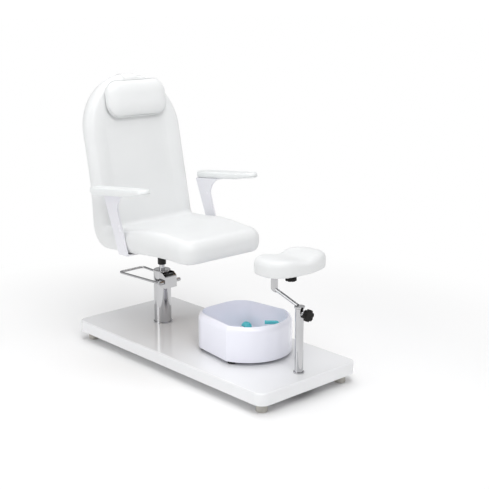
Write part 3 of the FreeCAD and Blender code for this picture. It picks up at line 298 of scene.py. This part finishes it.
def effect_node(tree, name, **values):
    """Places a copy of an effect group in a material and sets its inputs."""
    node = tree.nodes.new("ShaderNodeGroup")
    node.node_tree = bpy.data.node_groups[name]
    for label, value in values.items():
        node.inputs[label].default_value = value
    return node


def make_finish(name, colours, roughness, texture, metallic=0.0, coat=0.0, specular=0.5):
    """colours is (a, b, scale), roughness (low, high, scale), texture (effect, scale, depth in metres)."""
    material = bpy.data.materials.new(name + "_finish")
    material.use_nodes = True
    tree = material.node_tree
    shader = tree.nodes["Principled BSDF"]
    drift = effect_node(tree, "colour_drift", A=(*colours[0], 1), B=(*colours[1], 1), Scale=colours[2])
    gloss = effect_node(tree, "gloss_drift", Low=roughness[0], High=roughness[1], Scale=roughness[2])
    relief = effect_node(tree, texture[0], Scale=texture[1])
    bump = tree.nodes.new("ShaderNodeBump")
    bump.inputs["Distance"].default_value = texture[2]
    bump.inputs["Strength"].default_value = 1.0
    shader.inputs["Metallic"].default_value = metallic
    shader.inputs["Coat Weight"].default_value = coat
    shader.inputs["Coat Roughness"].default_value = 0.06
    shader.inputs["Specular IOR Level"].default_value = specular
    wire(tree, (drift.outputs[0], shader.inputs["Base Color"]),
         (gloss.outputs[0], shader.inputs["Roughness"]),
         (relief.outputs["Height"], bump.inputs["Height"]), (bump.outputs[0], shader.inputs["Normal"]))
    return material


# %% The chair's finishes
FINISHES = {
    "white_lacquer": dict(colours=((0.84, 0.845, 0.86), (0.87, 0.875, 0.885), 3), roughness=(0.10, 0.16, 30),
                          texture=("orange_peel", 90, 0.00004), coat=0.6),
    "white_leather": dict(colours=((0.745, 0.756, 0.758), (0.785, 0.793, 0.793), 7),
                          roughness=(0.34, 0.46, 60), texture=("leather_grain", 620, 0.00012), specular=0.42),
    "white_webbing": dict(colours=((0.74, 0.75, 0.75), (0.80, 0.80, 0.80), 40), roughness=(0.6, 0.75, 90),
                          texture=("leather_grain", 900, 0.0002)),
    "white_paint": dict(colours=((0.78, 0.78, 0.82), (0.82, 0.82, 0.86), 6), roughness=(0.22, 0.30, 25),
                        texture=("orange_peel", 260, 0.00005)),
    "arm_plastic": dict(colours=((0.77, 0.79, 0.79), (0.81, 0.825, 0.825), 8), roughness=(0.3, 0.4, 40),
                        texture=("leather_grain", 900, 0.00006)),
    "basin_plastic": dict(colours=((0.87, 0.875, 0.965), (0.90, 0.905, 0.98), 4), roughness=(0.16, 0.24, 20),
                          texture=("orange_peel", 70, 0.00005), coat=0.35),
    "turquoise_plastic": dict(colours=((0.06, 0.46, 0.52), (0.10, 0.56, 0.62), 20),
                              roughness=(0.25, 0.35, 60), texture=("orange_peel", 200, 0.00004)),
    "chrome": dict(colours=((0.50, 0.50, 0.51), (0.58, 0.58, 0.59), 12), roughness=(0.04, 0.10, 35),
                   texture=("orange_peel", 60, 0.00001), metallic=1.0),
    "dark_steel": dict(colours=((0.035, 0.035, 0.038), (0.06, 0.06, 0.062), 18), roughness=(0.35, 0.5, 50),
                       texture=("orange_peel", 300, 0.00008), metallic=0.6),
    "zinc_steel": dict(colours=((0.42, 0.42, 0.44), (0.55, 0.55, 0.56), 60), roughness=(0.25, 0.42, 120),
                       texture=("orange_peel", 400, 0.00004), metallic=1.0),
    "black_casting": dict(colours=((0.006, 0.006, 0.006), (0.013, 0.012, 0.012), 30),
                          roughness=(0.25, 0.45, 90), texture=("orange_peel", 500, 0.0001), specular=0.3),
    "black_plastic": dict(colours=((0.004, 0.004, 0.004), (0.009, 0.007, 0.006), 40),
                          roughness=(0.32, 0.45, 80), texture=("leather_grain", 1400, 0.00006), specular=0.2),
    "black_rubber": dict(colours=((0.012, 0.012, 0.012), (0.02, 0.02, 0.02), 40), roughness=(0.6, 0.75, 60),
                         texture=("leather_grain", 1000, 0.00008)),
    "foot_rubber": dict(colours=((0.46, 0.44, 0.40), (0.54, 0.52, 0.48), 30), roughness=(0.5, 0.65, 60),
                        texture=("orange_peel", 350, 0.0001)),
    "plywood": dict(colours=((0.42, 0.28, 0.16), (0.56, 0.40, 0.24), 12), roughness=(0.55, 0.7, 30),
                    texture=("veneer", 14, 0.0003)),
}
finish = {name: make_finish(name, **facts) for name, facts in FINISHES.items()}
print("finishes:", ", ".join(sorted(finish)))

# %% [markdown]
# ## Hard parts
# Tubes, plates, bolts, the pump and the basin already have their exact shapes, so they stay. Each one
# came in with the name of its material slot, which is all we need to hand it its finish.

# %% Dress the carried-over parts
for part in nodes.values():
    for slot in part.material_slots:
        slot.material = finish[slot.material.name.split(".")[0]]
print("dressed", len(nodes), "parts")

# %% [markdown]
# ## From numbers to surfaces
# Every new piece below is a sheet: a grid of points worked out as whole arrays, then joined into
# four-sided faces. Two sheets that meet along an edge are sewn by merging the points that fall on
# each other. Faces of a closed piece are then turned outward together.

# %% Mesh helpers


def grid_faces(rows, columns, start=0, round_rows=False, round_columns=False):
    """Faces between neighbours (i, j), (i+1, j), (i+1, j+1), (i, j+1); a round way joins last to first."""
    i = np.arange(rows if round_rows else rows - 1)[:, None]
    j = np.arange(columns if round_columns else columns - 1)[None, :]
    below, beside = (i + 1) % rows, (j + 1) % columns
    corners = (i * columns + j, below * columns + j, below * columns + beside, i * columns + beside)
    return np.stack([c.ravel() for c in corners], axis=1) + start


def new_piece(name, points, faces, slot, body, sew=0.00002):
    """Puts arrays into a mesh, sews points closer than sew, turns faces outward and gives finish and body."""
    data = bpy.data.meshes.new(name)
    data.from_pydata(np.asarray(points, float).reshape(-1, 3).tolist(), [], list(faces))
    work = bmesh.new()
    work.from_mesh(data)
    bmesh.ops.remove_doubles(work, verts=work.verts, dist=sew)
    bmesh.ops.dissolve_degenerate(work, edges=work.edges, dist=sew / 4)
    bmesh.ops.recalc_face_normals(work, faces=work.faces)
    work.to_mesh(data)
    work.free()
    data.shade_smooth()
    data.materials.append(finish[slot])
    piece = bpy.data.objects.new(name, data)
    bpy.context.collection.objects.link(piece)
    if body:
        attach(piece, body)
    print(name, len(data.vertices), "points")
    return piece


def smooth_through(at, places, values):
    """A curve through given values: on each span the cubic whose end slopes are those of its neighbours."""
    places, values = np.asarray(places, float), np.asarray(values, float)
    slopes = np.gradient(values, places)
    k = np.clip(np.searchsorted(places, at) - 1, 0, len(places) - 2)
    span = places[k + 1] - places[k]
    t = np.clip((at - places[k]) / span, 0, 1)
    return ((2 * t**3 - 3 * t**2 + 1) * values[k] + (t**3 - 2 * t**2 + t) * span * slopes[k]
            + (3 * t**2 - 2 * t**3) * values[k + 1] + (t**3 - t**2) * span * slopes[k + 1])


def step_up(value, low, high):
    """0 below low, 1 above high, and 3t^2 - 2t^3 between them."""
    t = np.clip((value - low) / (high - low), 0, 1)
    return t * t * (3 - 2 * t)


def tube_along(path, radius, up, sides=12, closed=False):
    """Circles of one radius set square to a path; up is any direction that the path never takes."""
    path = np.asarray(path, float)
    ahead = np.roll(path, -1, 0) - np.roll(path, 1, 0) if closed else np.gradient(path, axis=0)
    ahead /= np.linalg.norm(ahead, axis=1)[:, None]
    side = np.cross(ahead, np.asarray(up, float))
    side /= np.linalg.norm(side, axis=1)[:, None]
    top = np.cross(side, ahead)
    turn = np.linspace(0, 2 * math.pi, sides, endpoint=False)[None, :, None]
    rings = path[:, None] + radius * (np.cos(turn) * side[:, None] + np.sin(turn) * top[:, None])
    faces = grid_faces(len(path), sides, round_rows=closed, round_columns=True)
    return rings, faces


print("helpers ready")

# %% [markdown]
# ## How a cushion is shaped
# A cushion is an outline filled from both sides. Away from the outline it has its full thickness; near
# it, the leather turns over in a round edge. So the one number that matters at any spot is how far it
# is from the outline. With that distance we can also draw rolled borders and sewn channels, since they
# run along the outline too.

# %% Cushion helper


def outline_distance(x, s, outline):
    """Distance from each spot (x, s) to a line of points: the nearest place on any of its segments."""
    spots = np.stack([x.ravel(), s.ravel()], 1)[:, None]
    start, end = outline[None, :-1], outline[None, 1:]
    run = end - start
    t = np.clip(((spots - start) * run).sum(2) / np.maximum((run**2).sum(2), 1e-12), 0, 1)
    return np.sqrt((((start + t[..., None] * run) - spots) ** 2).sum(2).min(1)).reshape(x.shape)


def round_edge(distance, radius):
    """Height of a quarter circle: sqrt(1 - (1 - d/r)^2) up to d = r, and 1 beyond."""
    return np.sqrt(1 - (1 - np.clip(distance / radius, 0, 1)) ** 2)


def outline_of(s, half_width):
    """The closed line of a symmetric outline: up the right side, across the top, down the left, and back."""
    right, left = np.stack([half_width, s], 1), np.stack([-half_width, s], 1)
    return np.concatenate([right, left[::-1], right[:1]])


def sine_steps(low, high, count):
    """Places from low to high that crowd together at both ends."""
    return low + (high - low) * (1 - np.cos(np.linspace(0, math.pi, count))) / 2


def stuffed(s, half_width, columns, front, rear, place):
    """Two sheets over an outline. front(x, s, d) and rear(x, s, d) give how far each stands off the middle;
    place(x, s, off) puts it in space. Both are zero at the outline, where the sheets are sewn."""
    across = np.sin(np.linspace(-math.pi / 2, math.pi / 2, columns))
    x = half_width[:, None] * across[None, :]
    along = np.repeat(s[:, None], columns, 1)
    distance = outline_distance(x, along, outline_of(s, half_width))
    distance[0] = distance[-1] = 0
    distance[:, 0] = distance[:, -1] = 0
    points = np.concatenate([place(x, along, front(x, along, distance)).reshape(-1, 3),
                             place(x, along, -rear(x, along, distance)).reshape(-1, 3)])
    faces = np.concatenate([grid_faces(len(s), columns), grid_faces(len(s), columns, len(s) * columns)])
    return points, faces


print("cushion helper ready")

# %% [markdown]
# ## Puffing with cloth
# A leather cover is cut a little small and foam presses it out, so it swells between its edges. Cloth
# simulation does just that. The shape is remeshed evenly, blown up with a little pressure, and held to
# a few millimetres of swell, because pressure knows nothing of foam that has reached its size.

# %% Cloth helper


def vertex_array(data):
    """All of a mesh's points as an array."""
    flat = np.empty(len(data.vertices) * 3)
    data.vertices.foreach_get("co", flat)
    return flat.reshape(-1, 3)


def set_vertices(data, points):
    """Writes an array of points back to a mesh."""
    data.vertices.foreach_set("co", np.asarray(points, float).ravel())
    data.update()


def puff(piece, voxel, pressure, most, last_frame=16):
    """Remesh, inflate without gravity, then keep each point's move m to most * tanh(|m| / most)."""
    scene, view = bpy.context.scene, bpy.context.view_layer
    view.objects.active = piece
    remesh = piece.modifiers.new("even", "REMESH")
    remesh.mode, remesh.voxel_size, remesh.use_smooth_shade = "VOXEL", voxel, True
    with bpy.context.temp_override(object=piece, active_object=piece):
        bpy.ops.object.modifier_apply(modifier="even")
    before = vertex_array(piece.data)
    cloth = piece.modifiers.new("cover", "CLOTH")
    cloth.settings.use_pressure = True
    cloth.settings.uniform_pressure_force = pressure
    cloth.settings.effector_weights.gravity = 0
    cloth.settings.tension_stiffness = cloth.settings.compression_stiffness = 25
    cloth.settings.quality = 4
    cloth.collision_settings.use_collision = False
    for number in range(1, last_frame + 1):
        scene.frame_set(number)
    blown = piece.evaluated_get(bpy.context.evaluated_depsgraph_get())
    after = vertex_array(blown.data)
    piece.modifiers.remove(cloth)
    scene.frame_set(1)
    move = after - before
    length = np.maximum(np.linalg.norm(move, axis=1), 1e-9)[:, None]
    set_vertices(piece.data, before + move * (most * np.tanh(length / most) / length))
    piece.data.shade_smooth()
    print(piece.name, "puffed, largest move", round(float(length.max()) * 1000, 1), "mm")


def finer(piece, levels=1):
    """One more level of smooth subdivision, the same in view and in render."""
    rounder = piece.modifiers.new("finer", "SUBSURF")
    rounder.levels = rounder.render_levels = levels


print("cloth helper ready")

# %% [markdown]
# ## Where the seat's middle runs
# The seat and back of this chair are one upholstered shell, bent like an L. We lay a flat, tombstone
# shaped outline along a line in the side view: straight under the seat, round the corner, straight up
# the leaning back. Everything about the shell is then a function of the place along that line.

# %% The shell's line
LEAN = math.radians(11.5)
BACK_FOOT = np.array([0.404, 0.548])
BACK_HEIGHT = 0.641
UP = np.array([math.sin(LEAN), math.cos(LEAN)])
OUT = np.array([-math.cos(LEAN), math.sin(LEAN)])
NOSE = np.array([-0.122, 0.517])
CORNER = np.array([0.4245, 0.4995])
BEND = 0.062
seat_way = (CORNER - NOSE) / np.linalg.norm(CORNER - NOSE)
turn_angle = math.acos(float(seat_way @ UP))
SEAT_RUN = float(np.linalg.norm(CORNER - NOSE)) - BEND * math.tan(turn_angle / 2)
BEND_RUN = BEND * turn_angle
BACK_START = CORNER + UP * BEND * math.tan(turn_angle / 2)
TOP = SEAT_RUN + BEND_RUN + float((BACK_FOOT + UP * BACK_HEIGHT - OUT * 0.03 - BACK_START) @ UP)
HALF = 0.249


def shell_line(s):
    """(y, z) on the line and the unit normal toward the sitter, at distance s from the seat's nose."""
    seat_up = np.array([-seat_way[1], seat_way[0]])
    angle = np.clip((s - SEAT_RUN) / BEND, 0, turn_angle)[..., None]
    ahead = np.cos(angle) * seat_way + np.sin(angle) * seat_up
    normal = np.stack([-ahead[..., 1], ahead[..., 0]], -1)
    centre = NOSE + seat_way * SEAT_RUN + seat_up * BEND
    on_bend = centre - normal * BEND
    before, after = np.minimum(s - SEAT_RUN, 0)[..., None], np.maximum(s - SEAT_RUN - BEND_RUN, 0)[..., None]
    return on_bend + seat_way * before + UP * after, normal


def shell_place(x, s, off):
    """A spot of the shell in space: the line's point, moved off along its normal, and x sideways."""
    point, normal = shell_line(s)
    flat = point + normal * off[..., None]
    return np.stack([x, flat[..., 0], flat[..., 1]], -1)


print("line of", round(TOP, 3), "m, bend from", round(SEAT_RUN, 3), "to", round(SEAT_RUN + BEND_RUN, 3))

# %% [markdown]
# ## The upholstered shell
# Its border is a fat roll all the way round, and inside it a separate panel is sewn in a little lower.
# On the seat the sides stay higher than the middle. Its front is slimmer than its rear and stands
# almost upright, with small round corners. Each of these is one term of a sheet's height.

# %% Shell
NOSE_CORNER, NOSE_HALF = 0.070, 0.214
TAPER_FROM, TAPER_TO = 0.12, 0.37
TOP_FRONT, TOP_FRONT_ROUND, TOP_REAR, TOP_REAR_ROUND = 0.041, 0.030, 0.030, 0.013
BED_INSET = 0.016
BACK_AT = SEAT_RUN + BEND_RUN


def shell_half_width(s):
    """Small round corners on a slim nose, then wider straight sides, and a half circle for the head."""
    side = smooth_through(s, [0, TAPER_FROM, TAPER_TO, TOP], [NOSE_HALF, NOSE_HALF + 0.001, HALF, HALF])
    over = np.clip(NOSE_CORNER - s, 0, None)
    corner = side - NOSE_CORNER + np.sqrt(np.clip(NOSE_CORNER**2 - over**2, 0, None))
    head = np.sqrt(np.clip(HALF**2 - np.clip(s - (TOP - HALF), 0, None) ** 2, 0, None))
    return np.minimum(corner, head)


shell_s = np.concatenate([sine_steps(0, 0.24, 60)[:30], np.linspace(0.12, TOP - 0.12, 170)[:-1],
                          sine_steps(TOP - 0.24, TOP, 60)[30:]])
side_line = np.stack([shell_half_width(shell_s), shell_s], 1)[shell_s > NOSE_CORNER * 0.6]
border_line = np.concatenate([side_line, (side_line * [-1, 1])[::-1]])


def shell_front(x, s, d):
    """Thickness in front * round edge - sunken panel - sewn groove - dip of the seat."""
    thick = smooth_through(s, [0, 0.07, 0.18, 0.28, 0.38, SEAT_RUN, SEAT_RUN + 0.04, BACK_AT + 0.02,
                               BACK_AT + 0.14, TOP],
                           [0.040, 0.046, 0.057, 0.057, 0.047, 0.044, 0.043, 0.043, 0.042, TOP_FRONT])
    edge = smooth_through(s, [0, 0.06, 0.20, SEAT_RUN, TOP], [0.042, 0.040, 0.036, 0.032, TOP_FRONT_ROUND])
    inward = outline_distance(x, s, border_line)
    seat = 1 - step_up(s, SEAT_RUN - 0.10, SEAT_RUN + 0.02)
    sewn = step_up(s, 0.10, 0.26)
    panel = (0.0100 - 0.006 * seat) * step_up(inward, 0.040, 0.110) * sewn
    groove = 0.0010 * np.exp(-(((inward - 0.088) / 0.0045) ** 2)) * sewn
    dip = 0.010 * seat * step_up(s, 0.05, 0.25) * np.cos(np.clip(x / HALF, -1, 1) * math.pi / 2) ** 2
    return thick * round_edge(d, edge) - (panel + groove + dip) * step_up(d, 0.0, 0.03)


def shell_rear(x, s, d):
    """Thickness behind * round edge, tighter on the back, less a shallow bed for the seat's board."""
    thick = smooth_through(s, [0, 0.06, 0.14, SEAT_RUN - 0.06, SEAT_RUN, SEAT_RUN + 0.045, BACK_AT + 0.02,
                               BACK_AT + 0.12, TOP],
                           [0.050, 0.054, 0.048, 0.0475, 0.0480, 0.0560, 0.047, 0.031, TOP_REAR])
    edge = smooth_through(s, [0, SEAT_RUN - 0.15, SEAT_RUN + 0.04, TOP],
                          [0.020, 0.018, TOP_REAR_ROUND, TOP_REAR_ROUND])
    board_half = NOSE_HALF - BED_INSET + (HALF - NOSE_HALF) * step_up(s, TAPER_FROM, TAPER_TO)
    board = step_up(board_half - np.abs(x), -0.008, 0.012)
    recess = smooth_through(s, [0, 0.062, 0.14, SEAT_RUN, TOP], [0.0195, 0.0195, 0.0135, 0.0055, 0.0055])
    bed = board * step_up(s, 0.036, 0.060) * (1 - step_up(s, SEAT_RUN - 0.02, SEAT_RUN + 0.02))
    return thick * round_edge(d, edge) - recess * bed * step_up(d, 0.0, 0.03)


points, faces = stuffed(shell_s, shell_half_width(shell_s), 84, shell_front, shell_rear, shell_place)
shell = new_piece("seat_shell", points, faces, "white_leather", "seat")
finer(shell)
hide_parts("seat_cushion", "back_cushion", "back_rear_panel")

# %% [markdown]
# ## The pillow and its strap
# The neck pillow is soft and separate, so it may overlap the shell's top edge. Its two covers meet in
# a corded seam, which shows as a thin round line. A wide strap carries it over the top of the back.

# %% Pillow
PILLOW_HALF, PILLOW_HEIGHT, PILLOW_ROUND, PILLOW_STATION = 0.157, 0.158, 0.060, 0.530
PILLOW_SHIFT, PILLOW_STAND = 0.010, 0.020
PILLOW_FRONT, PILLOW_REAR = 0.033, 0.0145
PIPING_RADIUS, PIPING_GROWTH = 0.0024, 1.004


def back_place(x, along, off):
    """A spot in the back's own frame: along its lean from its foot, and off toward the sitter."""
    flat = BACK_FOOT + np.asarray(along)[..., None] * UP + np.asarray(off)[..., None] * OUT
    return np.stack([np.broadcast_to(x, flat.shape[:-1]), flat[..., 0], flat[..., 1]], -1)


def pillow_place(x, s, off):
    """The outline is centred on its station, hangs a little to one side and stands before the back."""
    return back_place(x + PILLOW_SHIFT, s + PILLOW_STATION, off + PILLOW_STAND)


def rounded_half_width(s, half, height, radius):
    """Half width of a rectangle with quarter-circle corners, at s from -height/2 to height/2."""
    over = np.clip(np.abs(s) - (height / 2 - radius), 0, None)
    return half - radius + np.sqrt(np.clip(radius**2 - over**2, 0, None))


pillow_s = sine_steps(-PILLOW_HEIGHT / 2, PILLOW_HEIGHT / 2, 70)
pillow_w = rounded_half_width(pillow_s, PILLOW_HALF, PILLOW_HEIGHT, PILLOW_ROUND)
points, faces = stuffed(pillow_s, pillow_w, 90,
                        lambda x, s, d: PILLOW_FRONT * round_edge(d, 0.06),
                        lambda x, s, d: PILLOW_REAR * round_edge(d, 0.016), pillow_place)
pillow = new_piece("neck_pillow", points, faces, "white_leather", "headrest")
puff(pillow, 0.005, 3.0, 0.004)
finer(pillow)
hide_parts("headrest_pillow")

# %% Pillow piping
seam = outline_of(pillow_s, pillow_w * PIPING_GROWTH)[:-1]
path = pillow_place(seam[:, 0], seam[:, 1] * PIPING_GROWTH, np.full(len(seam), 0.0))
keep = np.linalg.norm(path - np.roll(path, 1, 0), axis=1) > 0.0008
rings, faces = tube_along(path[keep], PIPING_RADIUS, (0, OUT[0], OUT[1]), closed=True)
new_piece("pillow_piping", rings, faces, "white_leather", "headrest")

# %% Strap over the top
STRAP_HALF, STRAP_FALL, STRAP_CLEAR = 0.035, 0.150, 0.0014


def strap_sheet():
    """The shell's own section over the crown: up in front, down again behind, lifted a little clear."""
    turn = np.linspace(0, math.pi / 2, 24)
    d_front = np.concatenate([np.linspace(STRAP_FALL, TOP_FRONT_ROUND, 30)[:-1],
                              TOP_FRONT_ROUND * (1 - np.cos(turn[::-1]))])
    d_rear = np.concatenate([TOP_REAR_ROUND * (1 - np.cos(turn)),
                             np.linspace(TOP_REAR_ROUND, STRAP_FALL, 30)[1:]])
    depth = np.concatenate([TOP_FRONT * round_edge(d_front, TOP_FRONT_ROUND),
                            -TOP_REAR * round_edge(d_rear, TOP_REAR_ROUND)[1:]])
    down = np.concatenate([d_front, d_rear[1:]])
    step_d, step_o = np.gradient(-down), np.gradient(depth)
    size = np.hypot(step_d, step_o)
    clear_s, clear_o = -step_o / size * STRAP_CLEAR, step_d / size * STRAP_CLEAR
    x = np.linspace(-STRAP_HALF, STRAP_HALF, 13)
    crown = TOP - HALF + np.sqrt(HALF**2 - x**2)
    s = crown[None, :] - down[:, None] + clear_s[:, None]
    off = np.repeat((depth + clear_o)[:, None], len(x), 1)
    return shell_place(np.repeat(x[None, :], len(down), 0), s, off), grid_faces(len(down), len(x))


points, faces = strap_sheet()
strap = new_piece("pillow_strap", points, faces, "white_webbing", "seat")
thick = strap.modifiers.new("thick", "SOLIDIFY")
thick.thickness, thick.offset = 0.0022, 0.0
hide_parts("headrest_band")

# %% [markdown]
# ## Arm pads
# Each pad is a slim, firm moulding, widest at the elbow and tapered toward the hand, lying on a blade
# of painted steel. Its outline is a width that changes along its length, filled from both sides with
# a crowned top and a flat underside.

# %% Arm pads
ARM_LENGTH, ARM_HALF, ARM_PITCH = 0.370, 0.0385, math.radians(5.6)
ARM_CENTRE = np.array([0.211, 0.746])
ARM_THICK, ARM_TOP, ARM_SPREAD = 0.028, 0.5, 0.290


def arm_half_width(s):
    """Full width behind, drawn in over the front third, with a round nose and a rounder tail."""
    taper = smooth_through(s, [0, 0.04, 0.12, 0.2, ARM_LENGTH], [0.74, 0.84, 0.96, 1.0, 1.0])
    nose = round_edge(s, 0.030)
    tail = round_edge(ARM_LENGTH - s, 0.034)
    return ARM_HALF * taper * nose * tail


def arm_place(side):
    """Station s runs back from the nose down the pitched top face; off is measured square to that face."""
    way = np.array([math.cos(ARM_PITCH), -math.sin(ARM_PITCH)])
    rise = np.array([math.sin(ARM_PITCH), math.cos(ARM_PITCH)])

    def place(x, s, off):
        along, height = (s - ARM_LENGTH / 2)[..., None], (off - ARM_THICK * ARM_TOP)[..., None]
        flat = ARM_CENTRE + along * way + height * rise
        return np.stack([x + side * ARM_SPREAD, flat[..., 0], flat[..., 1]], -1)
    return place


arm_s = sine_steps(0, ARM_LENGTH, 110)
for side, name in ((-1, "left"), (1, "right")):
    points, faces = stuffed(arm_s, arm_half_width(arm_s), 40,
                            lambda x, s, d: ARM_THICK * ARM_TOP * round_edge(d, 0.005)
                            + 0.0008 * np.cos(x / ARM_HALF * math.pi / 2),
                            lambda x, s, d: ARM_THICK * (1 - ARM_TOP) * round_edge(d, 0.008)
                            * (0.55 + 0.45 * step_up(s, 0.02, 0.12)), arm_place(side))
    pad = new_piece("arm_pad_" + name, points, faces, "arm_plastic", "seat")
    finer(pad)
    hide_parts("armrest_pad_" + name)

# %% [markdown]
# ## The foot cushion
# The foot rests between two lobes, so the cushion is a bean in plan with a trough across its middle.
# Its sides stand upright for most of their height, then roll over into the top. An outline that can be
# seen whole from its centre suits rings that shrink toward that centre.

# %% Foot cushion
pad_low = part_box("footrest_cushion")[0]
PAD_CENTRE = np.array([0.0, -0.477])
PAD_HALF_X, PAD_HALF_Y = 0.1515, 0.099
PAD_BASE, PAD_TALL, PAD_DIP = pad_low.z + 0.0005, 0.0625, 0.0125
PAD_LOW_ROUND, PAD_TOP_ROUND, PAD_REACH = 0.007, 0.024, 0.0988
BEAN_POWER, BEAN_WAIST, BEAN_BELLY, BEAN_SPREAD = 2.6, 0.015, 0.002, 0.06


def bean(turn):
    """Superellipse |x/a|^p + |y/b|^p = 1, its far side drawn in and its near side bowed out mid way."""
    c, s = np.cos(turn), np.sin(turn)
    total = np.abs(c / PAD_HALF_X) ** BEAN_POWER + np.abs(s / PAD_HALF_Y) ** BEAN_POWER
    reach = total ** (-1 / BEAN_POWER)
    x, y = reach * c, reach * s
    middle = np.exp(-((x / BEAN_SPREAD) ** 2))
    return x, y - BEAN_WAIST * middle * (s > 0) * s - BEAN_BELLY * middle * (s < 0) * -s


def foot_cushion():
    """Rings: under side from the centre out, up the wall, over a round edge, and in across the saddle."""
    turn = np.linspace(0, 2 * math.pi, 160, endpoint=False)
    arc = np.linspace(0, math.pi / 2, 12)
    inset = np.concatenate([np.linspace(0.095, PAD_LOW_ROUND, 12)[:-1], PAD_LOW_ROUND * (1 - np.sin(arc)),
                            PAD_TOP_ROUND * (1 - np.cos(arc)), np.linspace(PAD_TOP_ROUND, 0.0985, 26)[1:]])
    share = np.concatenate([np.zeros(11), PAD_LOW_ROUND * (1 - np.cos(arc)) / PAD_TALL,
                            1 - PAD_TOP_ROUND * (1 - np.sin(arc)) / PAD_TALL, np.ones(25)])
    x, y = bean(turn)
    ring = 1 - inset[:, None] / PAD_REACH
    rim = np.hypot(x, y)
    blend = step_up(ring, 0.0, 0.75)
    scale = blend * np.maximum(1 - inset[:, None] / rim[None, :], 0) + (1 - blend) * ring
    px, py = scale * x[None, :], scale * y[None, :]
    lobes = PAD_DIP * np.exp(-((px / 0.062) ** 2)) * step_up(share[:, None], 0.2, 1.0)
    crown = 0.002 * step_up(inset[:, None], 0.02, 0.09)
    z = PAD_BASE + share[:, None] * PAD_TALL - lobes + crown
    points = np.stack([px + PAD_CENTRE[0], py + PAD_CENTRE[1], z], -1)
    ends = np.array([[PAD_CENTRE[0], PAD_CENTRE[1], PAD_BASE], [PAD_CENTRE[0], PAD_CENTRE[1], z[-1].mean()]])
    count = len(turn)
    last = points.size // 3
    around = np.arange(count)
    rings = grid_faces(len(inset), count, round_columns=True)
    caps = [[last, (i + 1) % count, i] for i in around]
    top = (len(inset) - 1) * count
    caps += [[last + 1, top + i, top + (i + 1) % count] for i in around]
    return np.concatenate([points.reshape(-1, 3), ends]), rings.tolist() + caps


points, faces = foot_cushion()
foot_pad = new_piece("foot_cushion", points, faces, "white_leather", "pad")
puff(foot_pad, 0.005, 3.0, 0.0025)
finer(foot_pad)
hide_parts("footrest_cushion")
